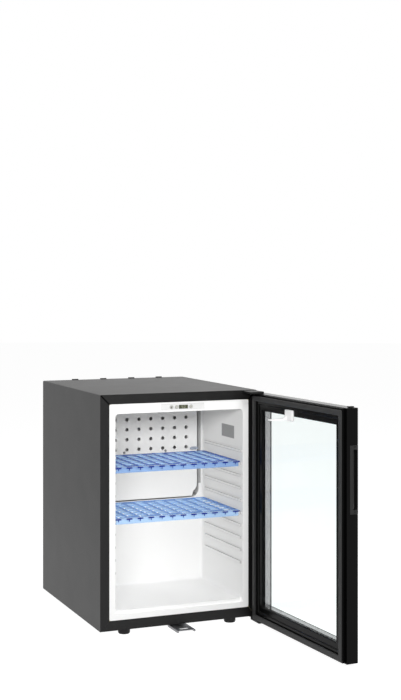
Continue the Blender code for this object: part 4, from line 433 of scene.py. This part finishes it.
DUST = make_dust_group()
print("shared effect:", DUST.name)

# %% [markdown]
# ## Finishes
#
# A finish is a Principled shader fed by the shared effects. Numbers that are the same all over
# sit straight on the shader's own sockets. The first finish is the satin black that is sprayed on
# the cabinet's steel sheet. Black paint reflects little, so it has a low specular level and a
# broad highlight.


# %% A maker of finishes, and the paint
def add_effect(nodes, group, **values):
    node = nodes.new("ShaderNodeGroup")
    node.node_tree = group
    set_sockets(node, **values)
    return node


def make_finish(
    name, color, roughness, drift=0.08, spread=0.06, drift_scale=14.0, skin=600.0, grain=0.35,
    depth=0.00004, dust=0.0, metallic=0.0, **sockets,
):
    material = bpy.data.materials.new(name)
    material.use_nodes = True
    nodes, links = material.node_tree.nodes, material.node_tree.links
    shader = nodes["Principled BSDF"]
    set_sockets(shader, Metallic=metallic, **sockets)
    last = add_effect(
        nodes, DRIFT, Color=color, Amount=drift, Scale=drift_scale, Roughness=roughness,
        Spread=spread,
    )
    if dust:
        dusty = add_effect(nodes, DUST, Amount=dust)
        links.new(last.outputs["Color"], dusty.inputs["Color"])
        links.new(last.outputs["Roughness"], dusty.inputs["Roughness"])
        last = dusty
    links.new(last.outputs["Color"], shader.inputs["Base Color"])
    links.new(last.outputs["Roughness"], shader.inputs["Roughness"])
    if depth:
        skinned = add_effect(nodes, SKIN, Scale=skin, Grain=grain, Depth=depth)
        links.new(skinned.outputs["Normal"], shader.inputs["Normal"])
    return material


finishes = {
    "black_paint": make_finish(
        "satin_black_paint", grey(0.0035), 0.40, skin=900, depth=0.00003, dust=0.08,
        Specular_IOR_Level=0.27,
    ),
}
print("the first finish:", finishes["black_paint"].name)

# %% [markdown]
# These are the other opaque finishes that the record names. Black mouldings are coloured right
# through and smoother than the paint, and inside everything is white plastic with a slight gloss.
# Zinc and aluminium are metals whose drift stands for the spangle and for rolling marks. Each
# could have its own tree of nodes, but one maker with other numbers keeps them alike.

# %% Finishes of the record's slots
finishes |= {
    "black_plastic": make_finish(
        "black_moulding", grey(0.0025), 0.20, skin=1500, grain=0.6, depth=0.00001, dust=0.05,
        Specular_IOR_Level=0.08,
    ),
    "galvanised_sheet": make_finish(
        "zinc_coated_sheet", (0.52, 0.53, 0.54, 1), 0.38, drift=0.25, drift_scale=60,
        skin=260, grain=0.9, depth=0.00002, metallic=1.0,
    ),
    "rigid_foam": make_finish(
        "cut_foam", (0.72, 0.62, 0.36, 1), 0.85, drift=0.15, skin=700, grain=0.8, depth=0.0004
    ),
    "white_plastic": make_finish(
        "white_moulding", (0.87, 0.87, 0.865, 1), 0.32, drift=0.02, skin=1100, depth=0.00002
    ),
    "bare_aluminium": make_finish(
        "rolled_aluminium", (0.78, 0.79, 0.80, 1), 0.34, drift=0.06, skin=400,
        depth=0.00001, metallic=1.0,
    ),
    "zinc_screw": make_finish(
        "zinc_plating", (0.62, 0.62, 0.64, 1), 0.26, drift=0.1, skin=900, depth=0.00001,
        metallic=1.0,
    ),
    "dark_display": make_finish(
        "display_window", (0.055, 0.06, 0.03, 1), 0.10, drift=0.05, skin=900, depth=0.0
    ),
    "circuit_board": make_finish(
        "green_board", (0.02, 0.14, 0.05, 1), 0.35, drift=0.2, skin=800, depth=0.00003
    ),
    "unit_shell": make_finish(
        "unit_shell_paint", grey(0.028), 0.5, skin=700, depth=0.00005, dust=0.2
    ),
    "unit_paint": make_finish(
        "unit_tube_paint", grey(0.024), 0.42, skin=700, depth=0.00005, dust=0.2
    ),
    "black_rubber": make_finish(
        "gasket_rubber", grey(0.010), 0.55, skin=1600, depth=0.00003, Specular_IOR_Level=0.35
    ),
    "foot_rubber": make_finish(
        "foot_rubber_grey", grey(0.008), 0.5, skin=1200, grain=0.7, depth=0.00006,
        Specular_IOR_Level=0.2,
    ),
}
print(len(finishes), "opaque finishes of slots")

# %% [markdown]
# Some pieces share a material with others and still look different, such as the door's gloss, the
# cream buttons, the satin of the grip and the dull heads of the screws. They could share one
# finish with a mask, but separate finishes are plainer to read and to change.

# %% Finishes of single pieces
finishes |= {
    "spacer_aluminium": make_finish(
        "dull_anodised_spacer", (0.35, 0.34, 0.345, 1), 0.16, drift=0.25, drift_scale=90,
        skin=300, depth=0.00002, metallic=1.0,
    ),
    "door_gloss": make_finish(
        "door_moulding", grey(0.0022), 0.13, skin=1500, grain=0.6, depth=0.000006, dust=0.05,
        Specular_IOR_Level=0.07,
    ),
    "button_cream": make_finish(
        "button_cream", (0.52, 0.52, 0.47, 1), 0.35, drift=0.02, skin=1100, depth=0.00002
    ),
    "printed_mark": make_finish("printed_mark", grey(0.06), 0.5, drift=0.02, depth=0.0),
    # the ring is painted shade for the gap round each button
    "printed_ring": make_finish("printed_ring", grey(0.22), 0.5, drift=0.02, depth=0.0),
    "blank_label": make_finish(
        "blank_paper_label", grey(0.34), 0.55, drift=0.05, skin=1800, depth=0.00001
    ),
    # the next two are painted shade for the gap beside the perforated cover
    "painted_gap_shade_dark": make_finish(
        "painted_gap_shade_black", grey(0.05), 0.8, drift=0.2, skin=1200, grain=0.8, depth=0.0001
    ),
    "painted_gap_shade_grey": make_finish(
        "painted_gap_shade_grey", grey(0.34), 0.45, drift=0.1, drift_scale=60, skin=400, depth=0.00005
    ),
    "lit_segment": make_finish("lit_segment", (0.34, 0.36, 0.26, 1), 0.4, depth=0.0),
    "navy_ends": make_finish(
        "navy_bar_ends", (0.006, 0.02, 0.22, 1), 0.3, drift=0.1, skin=900, depth=0.00001,
        Specular_IOR_Level=0.1,
    ),
    # the ribs' faces: a greyer white, painted shade along each rib
    "rib_painted_shade": make_finish("rib_painted_grey", grey(0.50), 0.5, drift=0.02, depth=0.00001),
    "sensor_grey": make_finish("sensor_grey", (0.34, 0.38, 0.46, 1), 0.4, depth=0.00001),
    "bright_fins": make_finish(
        "bright_fins", (0.62, 0.62, 0.63, 1), 0.45, drift=0.06, skin=400, depth=0.00001,
        metallic=0.25,
    ),
    "grip_satin": make_finish(
        "grip_satin", grey(0.007), 0.32, skin=1500, grain=0.6, depth=0.00001,
        Specular_IOR_Level=0.3,
    ),
    # black for the spacer's sealant, and as painted shade in the mitre grooves
    "seam_black": make_finish(
        "seam_black", grey(0.001), 0.8, drift=0.05, depth=0.0, Specular_IOR_Level=0.0
    ),
    "screw_head": make_finish(
        "dull_screw_head", grey(0.26), 0.4, drift=0.1, skin=900, depth=0.00001, metallic=0.3
    ),
    "black_screw": make_finish(
        "blackened_screw", grey(0.006), 0.35, skin=900, depth=0.00001, Specular_IOR_Level=0.2
    ),
    "dull_zinc": make_finish(
        "dull_zinc_plate", (0.24, 0.24, 0.25, 1), 0.42, drift=0.25, drift_scale=60,
        skin=260, grain=0.9, depth=0.00002, metallic=1.0,
    ),
}
print(len(finishes), "opaque finishes in all")

# %% [markdown]
# Glass and clear plastic need one thing more. Light that passes through them reaches what lies
# behind only as a caustic, which a path tracer hardly finds, so the shelf below would sit in the
# dark. For the rays that carry light the shader is swapped for a plain transparent one. The
# shelves' plastic has a low index of refraction, so that its colour shows instead of the room.


# %% See-through finishes
def make_see_through(name, color, shadow, roughness, ior, weight=1.0):
    material = bpy.data.materials.new(name)
    material.use_nodes = True
    nodes, links = material.node_tree.nodes, material.node_tree.links
    shader = nodes["Principled BSDF"]
    set_sockets(
        shader, Base_Color=color, Roughness=roughness, IOR=ior, Transmission_Weight=weight
    )
    clear = add_node(nodes, "BsdfTransparent", Color=shadow)
    rays = nodes.new("ShaderNodeLightPath").outputs
    carries_light = larger_of(nodes, links, rays["Is Shadow Ray"], rays["Is Diffuse Ray"])
    shown = add_choice(nodes, links, carries_light, shader, clear)
    links.new(shown, nodes["Material Output"].inputs["Surface"])
    return material


see_through = {
    "clear_glass": make_see_through(
        "pane_glass", (0.972, 1.0, 0.996, 1), (0.968, 0.975, 0.973, 1), 0.0, 1.12
    ),
    "clear_plastic": make_see_through(
        "clear_lens", (0.80, 0.80, 0.795, 1), grey(0.9), 0.15, 1.45, weight=0.25
    ),
    "blue_plastic": make_see_through(
        "blue_lattice", (0.50, 0.70, 0.97, 1), grey(1), 0.14, 1.2, weight=0.6
    ),
    # upper shelf's bar tops: deep for the long path through the dye, and darker still as painted
    # shade
    "upper_bars_deep_shaded": make_see_through(
        "blue_lattice_bars", (0.04, 0.12, 0.50, 1), grey(1), 0.2, 1.06, weight=0.3
    ),
    # lower shelf's bar tops: lighter, painted light
    "lower_bars_painted_light": make_see_through(
        "blue_lattice_lit_bars", (0.14, 0.30, 0.70, 1), grey(1), 0.2, 1.06, weight=0.4
    ),
    # upper shelf's lip: darker, painted shade
    "upper_lip_painted_shade": make_see_through(
        "blue_lattice_lip", (0.27, 0.42, 0.72, 1), grey(1), 0.14, 1.2, weight=0.5
    ),
}
finishes |= see_through
print(len(see_through), "see-through finishes")

# %% [markdown]
# Each solid gets the finish of its slot, by its material's name. A few solids share a slot but
# not its look, so they are listed with a finish of their own. The solids' meshes stay as they
# came: only what their material slots hold changes.

# %% Put each finish on the solids
slot_of = {
    name: solid.material_slots[0].material.name.split(".")[0] for name, solid in solids.items()
}
own_finish = {
    "glass_spacer": "spacer_aluminium",
    "grip_screw_lower": "black_screw",
    "grip_screw_upper": "black_screw",
    "lock_plate": "dull_zinc",
    "door_frame": "door_gloss",
    "cooling_plate": "bright_fins",
    "cover_screw_left": "screw_head",
    "cover_screw_right": "screw_head",
    "grip_insert": "grip_satin",
    "sensor_clip": "sensor_grey",
    "button_set": "button_cream",
    "button_down": "button_cream",
    "button_up": "button_cream",
}


def finish_of(node):
    return finishes[own_finish.get(node, slot_of[node])]


for node, solid in solids.items():
    for place in solid.material_slots:
        place.material = finish_of(node)
print(len(finishes), "finishes for", len(solids), "solids and their pieces")

# %% [markdown]
# ## Edges that catch the light
#
# No moulding or folded sheet has a perfectly sharp edge, and the thin highlight along a rounded
# edge is much of what makes it look real. The solids come as loose triangles, which can't be
# rounded. So a copy is welded, and its flat triangles are joined into whole faces. The copy
# rides with the same body and takes its finish from the same slot.

# %% From a solid to a piece
WELD = 0.00001
FLAT = math.radians(0.3)


def weld(node):
    """A copy of a solid, with its loose triangles welded and joined into whole faces."""
    shape = bmesh.new()
    shape.from_mesh(solids[node].data)
    bmesh.ops.remove_doubles(shape, verts=shape.verts, dist=WELD)
    bmesh.ops.dissolve_limit(shape, angle_limit=FLAT, verts=shape.verts, edges=shape.edges)
    return shape


def make_piece(shape, name, node, slot, *materials):
    """A piece that rides with a solid and wears the finishes it is given; the slot is not used.
    """
    mesh = bpy.data.meshes.new(name)
    shape.to_mesh(mesh)
    shape.free()
    for material in materials:
        mesh.materials.append(material)
    piece = bpy.data.objects.new(name, mesh)
    bpy.context.scene.collection.objects.link(piece)
    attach(piece, solids[node]["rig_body"])
    return piece


# %% [markdown]
# The edges could be bevelled one by one. A Bevel modifier finds them by itself: it rounds every
# edge that turns by more than a third of a right angle. The lining has a width of nothing. It is
# only shaded smooth, because a bevel would draw a dark line along the shallow step of its sill.
# Tubes and other small round parts stay as they came.

# %% Softened copies
SHARP = math.radians(32)
BEVEL_SEGMENTS = 2
SOFT_EDGES = {
    "wrapper": 0.0006,
    "front_band_bottom": 0.0005,
    "evaporator_cover": 0.0002,
    "control_housing": 0.0006,
    "door_frame": 0.0008,
    "door_inner_frame": 0.0006,
    "door_top_plug": 0.0005,
    "grip_insert": 0.0005,
    "lamp_switch_arm": 0.0006,
    "upper_hinge_bracket": 0.0004,
    "lower_hinge_bracket": 0.0004,
    "lock_plate": 0.0002,
    "rear_vent_strip": 0.0004,
    "rear_cross_bar": 0.0004,
    "back_wall": 0.0004,
    "base_pan": 0.0003,
    "junction_box": 0.0010,
    "boiler_jacket": 0.0015,
    "vessel_cradle": 0.0002,
    "boiler_bracket": 0.0003,
    "sensor_clip": 0.0003,
    "liner": 0.0,
    "foot_front_left": 0.0004,
    "foot_front_right": 0.0004,
    "foot_rear_left": 0.0004,
    "foot_rear_right": 0.0004,
    "door_gasket": 0.0005,
}


def soften(node, width):
    shape = weld(node)
    for face in shape.faces:
        face.smooth = True
    for edge in shape.edges:
        edge.smooth = edge.calc_face_angle(0.0) < SHARP
    piece = make_piece(shape, f"{node}_soft", node, slot_of[node], finish_of(node))
    if width:
        edges = piece.modifiers.new("soft_edges", "BEVEL")
        edges.width = width
        edges.segments = BEVEL_SEGMENTS
        edges.limit_method = "ANGLE"
        edges.angle_limit = SHARP
        edges.use_clamp_overlap = True
        edges.harden_normals = True
    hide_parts(node)
    return piece


soft = {node: soften(node, width) for node, width in SOFT_EDGES.items()}
print(len(soft), "softened copies")

# %% [markdown]
# The ribs of the lining get painted shade: their faces above and below and their front ends take
# a greyer white, which stands for the shade along each rib and takes the highlight off its front
# end, and so draws each rib as a thin line. They could be split off as pieces, but the lining is
# one moulding. So those small faces, found by their size, place and direction, get a second
# material.

# %% Painted shade on the ribs' faces
RIB_SIDE = 0.14  # the ribs lie further than this from the middle
RIB_FACE, RIB_END = 0.0014, 0.0001  # the largest areas of a rib's faces
RIBS_LOW, RIBS_HIGH = 0.12, 0.42
FLANGE = 0.004  # the front flange's depth


def paint_rib_shade(piece):
    mesh = piece.data
    mesh.materials.append(finishes["rib_painted_shade"])
    flange = min(corner.co.y for corner in mesh.vertices) + FLANGE
    shaded_faces = 0
    for face in mesh.polygons:
        level = abs(face.normal.z) > 0.5
        front_end = face.normal.y < -0.5 and face.center.y > flange and face.area < RIB_END
        on_a_rib = abs(face.center.x) > RIB_SIDE and RIBS_LOW < face.center.z < RIBS_HIGH
        # painted shade: these rib faces take the greyer white
        if on_a_rib and face.area < RIB_FACE and (level or front_end):
            face.material_index = 1
            shaded_faces += 1
    return shaded_faces


print(paint_rib_shade(soft["liner"]), "dull rib faces")

# %% [markdown]
# The wrapper's flanges meet in a mitre at the two upper corners, and the groove between them lies
# in shade. A groove in the sheet would be lost in the paint's own black, so a narrow black strip
# of painted shade lies over each one, from the cabinet's outer corner to the lining's: four
# corners and a small thickness.

# %% Painted shade in the mitre seams
SEAM_HALF, SEAM_INSET, SEAM_THICKNESS = 0.0014, 0.0012, 0.00012


def add_outline(shape, corners, thickness):
    """A face through the corners, drawn out by a vector."""
    face = shape.faces.new([shape.verts.new(corner) for corner in corners])
    grown = bmesh.ops.extrude_face_region(shape, geom=[face])["geom"]
    moved = [part for part in grown if isinstance(part, bmesh.types.BMVert)]
    bmesh.ops.translate(shape, verts=moved, vec=thickness)


def finish_piece(shape, name, node, slot, look):
    """Turns the faces outwards and makes the piece."""
    bmesh.ops.recalc_face_normals(shape, faces=shape.faces)
    return make_piece(shape, name, node, slot, finishes[look])


def make_mitre(name, side):
    low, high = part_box("wrapper")
    inner_low, inner_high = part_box("liner")
    edge = (high if side > 0 else low).x - side * SEAM_INSET
    outer = Vector((edge, low.y, high.z - SEAM_INSET))
    inner = Vector(((inner_high if side > 0 else inner_low).x, low.y, inner_high.z))
    along = (inner - outer).normalized()
    across = Vector((-along.z, 0, along.x)) * SEAM_HALF
    shape = bmesh.new()
    corners = [outer + across, inner + across, inner - across, outer - across]
    add_outline(shape, corners, (0, -SEAM_THICKNESS, 0))
    # the black strip is painted shade in the mitre's groove
    return finish_piece(shape, name, "wrapper", "black_paint", "seam_black")


seams = [make_mitre("mitre_painted_shade_left", -1), make_mitre("mitre_painted_shade_right", 1)]
print(len(seams), "mitre seams")

# %% [markdown]
# ## The lattice shelves
#
# Clear dyed plastic looks pale where light crosses it once, and deep where a bar is seen from
# above along its whole depth. Absorption in a volume would do this, but the bars are thin and it
# renders slowly. So the welded copy of each shelf gets a deep finish on the tops of the bars, its
# own tone on the front lip and the pale one everywhere else. The upper shelf's bar tops and lip
# are darker as painted shade, and the lower shelf's bar tops lighter as painted light. The front
# rail stays pale, so that the dark ends of the bars stand apart.

# %% Three tones on each shelf
FRONT_RAIL = 0.006
TOP_SKIN, LIP_SKIN = 0.0005, 0.0012  # how far a face may lie behind the top and the front


def split_by_plane(shape, place, normal):
    """Cuts the faces along a plane and leaves both sides."""
    parts = list(shape.verts) + list(shape.edges) + list(shape.faces)
    bmesh.ops.bisect_plane(shape, geom=parts, plane_co=place, plane_no=normal)


def make_shelf(node, bars, lip):
    shape = weld(node)
    low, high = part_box(node)
    rail_back = low.y + FRONT_RAIL
    split_by_plane(shape, (0, rail_back, 0), (0, 1, 0))
    for face in shape.faces:
        middle = face.calc_center_median()
        face.smooth = False
        if face.normal.z > 0.5 and middle.z > high.z - TOP_SKIN:
            face.material_index = int(middle.y > rail_back)
        elif face.normal.y < -0.5 and middle.y < low.y + LIP_SKIN:
            face.material_index = 2
    looks = [finishes[look] for look in ("blue_plastic", bars, lip)]
    piece = make_piece(shape, f"{node}_lattice", node, "blue_plastic", *looks)
    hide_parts(node)
    return len(piece.data.polygons)


print("upper shelf:", make_shelf("upper_shelf", "upper_bars_deep_shaded", "upper_lip_painted_shade"), "faces")
print("lower shelf:", make_shelf("lower_shelf", "lower_bars_painted_light", "blue_plastic"), "faces")

# %% [markdown]
# The panes are glued to their aluminium spacer with a black sealant, which shows as a thin dark
# line along the outer pane. It could be a thin frame laid on, but the pane stands in the way. So
# a plane parallel to the open door splits the spacer's copy, and the outer part turns black.

# %% The dark line of sealant along the spacer
DOOR_OPEN = math.radians(92.7)
SEALANT = 0.0028


def make_spacer(node):
    shape = weld(node)
    outward = Vector((math.sin(DOOR_OPEN), -math.cos(DOOR_OPEN), 0))
    line = max(corner.co.dot(outward) for corner in shape.verts) - SEALANT
    split_by_plane(shape, outward * line, outward)
    for face in shape.faces:
        face.material_index = int(face.calc_center_median().dot(outward) > line)
    looks = (finish_of(node), finishes["seam_black"])
    piece = make_piece(shape, f"{node}_sealed", node, slot_of[node], *looks)
    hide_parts(node)
    return piece


spacer = make_spacer("glass_spacer")
print("spacer with", len(spacer.data.polygons), "faces")

# %% [markdown]
# Each bar of the lattice is a T in section, and its end shows as a dark T through the pale front
# lip. The lip could be cut open for them, but it is one smooth moulding. So each T is an outline
# of eight corners laid on its front. The outermost two reach the shelf's own ends.

# %% The ends of the bars
BARS, BAR_PITCH = 12, 0.0275
BAR_HEAD, BAR_HEAD_HEIGHT, BAR_STEM, BAR_STEM_DEPTH = 0.0145, 0.0032, 0.0019, 0.0076
END_MARGIN, END_SUNK, END_THICKNESS = 0.0002, 0.0001, 0.0004


def make_bar_ends(node):
    low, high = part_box(node)
    shape = bmesh.new()
    head, stem = BAR_HEAD / 2, BAR_STEM / 2
    top = high.z - END_MARGIN
    under, foot = top - BAR_HEAD_HEIGHT, top - BAR_STEM_DEPTH
    for k in range(BARS):
        x = (k - (BARS - 1) / 2) * BAR_PITCH
        left = x - head if k > 0 else low.x + END_MARGIN
        right = x + head if k < BARS - 1 else high.x - END_MARGIN
        corners = [
            (left, top), (right, top), (right, under), (x + stem, under),
            (x + stem, foot), (x - stem, foot), (x - stem, under), (left, under),
        ]
        corners = [(u, low.y + END_SUNK, v) for u, v in corners]
        add_outline(shape, corners, (0, -END_THICKNESS, 0))
    return finish_piece(shape, f"{node}_bar_ends", node, "blue_plastic", "navy_ends")


bar_ends = [make_bar_ends(node) for node in ("upper_shelf", "lower_shelf")]
print(len(bar_ends), "rows of bar ends")

# %% [markdown]
# ## The label and the seals
#
# A thin rectangle is stuck to the inner right wall. It is left blank. The wall leans outwards
# towards the front, as a moulded tub must, so a plain box would sink in at one end. Rays cast at
# the wall find the place of each corner instead.

# %% A plain label on the right wall
LABEL_FRONT, LABEL_REAR = -0.1825, -0.1115
LABEL_LOW, LABEL_HIGH = 0.427, 0.458
LABEL_GAP, LABEL_THICKNESS = 0.00002, 0.00018


def make_ray_target(node):
    shape = weld(node)
    target = BVHTree.FromBMesh(shape)
    shape.free()
    return target


def on_lining(start, direction):
    """Where a ray from start first meets the lining."""
    return lining.ray_cast(Vector(start), Vector(direction))[0]


def make_label():
    places = (
        (LABEL_FRONT, LABEL_LOW), (LABEL_REAR, LABEL_LOW),
        (LABEL_REAR, LABEL_HIGH), (LABEL_FRONT, LABEL_HIGH),
    )
    corners = [(on_lining((0, y, z), (1, 0, 0)).x - LABEL_GAP, y, z) for y, z in places]
    shape = bmesh.new()
    add_outline(shape, corners, (-LABEL_THICKNESS, 0, 0))
    return finish_piece(shape, "blank_label", "liner", "white_plastic", "blank_label")


lining = make_ray_target("liner")
label = make_label()
print(label.name, round((LABEL_REAR - LABEL_FRONT) * 1000), "mm long on the right wall")

# %% [markdown]
# Between the perforated cover and the right corner stand two strips of painted shade, a dark one
# next to the cover and a grey one beyond it, for the shade in the gap there. The housing hides
# their upper ends. They are rectangles with a thickness, because only their fronts show, and a
# ray finds how far back each one lies.

# %% The strips of painted shade
SHADE_RAISED, SHADE_HIDDEN = 0.032, 0.007  # above the cover's foot, and inside the housing
SHADE_START, SHADE_MIDDLE, SHADE_END = 0.0002, 0.0042, 0.0110
SHADE_THICKNESS = 0.0006
RAY_START, RAY_LEVEL = -0.1, 0.4
cover_low, cover_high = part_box("evaporator_cover")
shade_low = cover_low.z + SHADE_RAISED
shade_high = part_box("control_housing")[0].z + SHADE_HIDDEN


def rectangle(left, right, y, low, high):
    """The corners of an upright rectangle that faces the front."""
    return [(left, y, low), (right, y, low), (right, y, high), (left, y, high)]


def make_shade_strip(name, left, right, look):
    rear = on_lining((right, RAY_START, RAY_LEVEL), (0, 1, 0)).y
    shape = bmesh.new()
    add_outline(shape, rectangle(left, right, rear, shade_low, shade_high), (0, -SHADE_THICKNESS, 0))
    return finish_piece(shape, name, "liner", "white_plastic", look)


start, middle, end = (cover_high.x + width for width in (SHADE_START, SHADE_MIDDLE, SHADE_END))
# both strips are painted shade for the gap beside the cover
shade_strips = [
    make_shade_strip("cover_painted_shade_dark", start, middle, "painted_gap_shade_dark"),
    make_shade_strip("cover_painted_shade_grey", middle, end, "painted_gap_shade_grey"),
]
print(len(shade_strips), "seals,", round(shade_high - shade_low, 3), "m high")

# %% [markdown]
# ## The controls
#
# The display shows a plain temperature in seven-segment digits. A font could write them, but a
# display's digits are bars. Every segment is the same small bar, laid along or across, and a
# digit is the list of the segments that are lit.

# %% Digits
SEGMENTS = {  # across, up, and whether the bar lies level
    "top": (0, 1, True), "middle": (0, 0, True), "bottom": (0, -1, True),
    "upper_left": (-1, 0.5, False), "upper_right": (1, 0.5, False),
    "lower_left": (-1, -0.5, False), "lower_right": (1, -0.5, False),
}
DIGITS = {
    "5": ("top", "upper_left", "middle", "lower_right", "bottom"),
    "0": ("top", "upper_left", "upper_right", "lower_left", "lower_right", "bottom"),
}
DIGIT_WIDTH, DIGIT_HEIGHT, DIGIT_PITCH, SEGMENT = 0.0030, 0.0054, 0.0058, 0.0007
PRINT_THICKNESS = 0.0001


def middle_of(node):
    low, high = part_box(node)
    return (low + high) / 2


def add_digit(shape, figure, x, y, z):
    for name in DIGITS[figure]:
        across, up, level = SEGMENTS[name]
        u, v = x + across * DIGIT_WIDTH / 2, z + up * DIGIT_HEIGHT / 2
        long, wide = (DIGIT_WIDTH if level else DIGIT_HEIGHT / 2) / 2 - SEGMENT / 2, SEGMENT / 2
        a, b = (long, wide) if level else (wide, long)
        add_outline(shape, rectangle(u - a, u + a, y, v - b, v + b), (0, -PRINT_THICKNESS, 0))


def make_digits():
    face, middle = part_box("display_window")[0].y, middle_of("display_window")
    shape = bmesh.new()
    for k, figure in enumerate("50"):
        add_digit(shape, figure, middle.x + (k - 0.5) * DIGIT_PITCH, face, middle.z)
    return finish_piece(shape, "display_digits", "display_window", "dark_display", "lit_segment")


print(make_digits().name, "made")

# %% [markdown]
# A printed mark sits on each button: a dot on the first, and triangles that point down and up on
# the others. One function makes them all, because a dot is a polygon with many sides. A flat grey
# ring on the lens is painted shade for the gap round each button: a circle whose edges are drawn
# inwards. Its faces have no normals yet when solidify comes, so both of its walls lie at one
# place.

# %% Marks and rings
RING_INNER, RING_OUTER, RING_SIDES = 0.0036, 0.0042, 24
RING_SUNK, RING_THICKNESS = 0.00005, 0.00008
MARKS = {  # sides, turn and radius
    "button_set": (16, 0, 0.0017),
    "button_down": (3, math.pi, 0.0014),
    "button_up": (3, 0, 0.0014),
}


def make_mark(node, sides, turn, size):
    face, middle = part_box(node)[0].y, middle_of(node)
    angles = [turn + 2 * math.pi * k / sides for k in range(sides)]
    corners = [
        (middle.x + size * math.sin(angle), face, middle.z + size * math.cos(angle))
        for angle in angles
    ]
    shape = bmesh.new()
    add_outline(shape, corners, (0, -PRINT_THICKNESS, 0))
    return finish_piece(shape, f"{node}_mark", node, "dark_display", "printed_mark")


def make_ring(node):
    face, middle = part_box("control_lens")[0].y, middle_of(node)
    shape = bmesh.new()
    bmesh.ops.create_circle(shape, cap_ends=False, segments=RING_SIDES, radius=RING_OUTER)
    upright = Matrix.Rotation(math.radians(90), 4, "X")
    bmesh.ops.transform(shape, matrix=upright, verts=shape.verts)
    bmesh.ops.translate(shape, verts=shape.verts, vec=(middle.x, face - RING_SUNK, middle.z))
    grown = bmesh.ops.extrude_edge_only(shape, edges=shape.edges)["geom"]
    inside = [part for part in grown if isinstance(part, bmesh.types.BMVert)]
    share = RING_INNER / RING_OUTER
    for corner in inside:
        corner.co.x = middle.x + (corner.co.x - middle.x) * share
        corner.co.z = middle.z + (corner.co.z - middle.z) * share
    bmesh.ops.solidify(shape, geom=shape.faces, thickness=RING_THICKNESS)
    # the grey ring is painted shade for the gap round the button
    return finish_piece(shape, f"{node}_ring", "control_lens", "dark_display", "printed_ring")


rings = [make_ring(node) for node in MARKS]
marks = [make_mark(node, *mark) for node, mark in MARKS.items()]
print(len(rings), "rings and", len(marks), "marks")
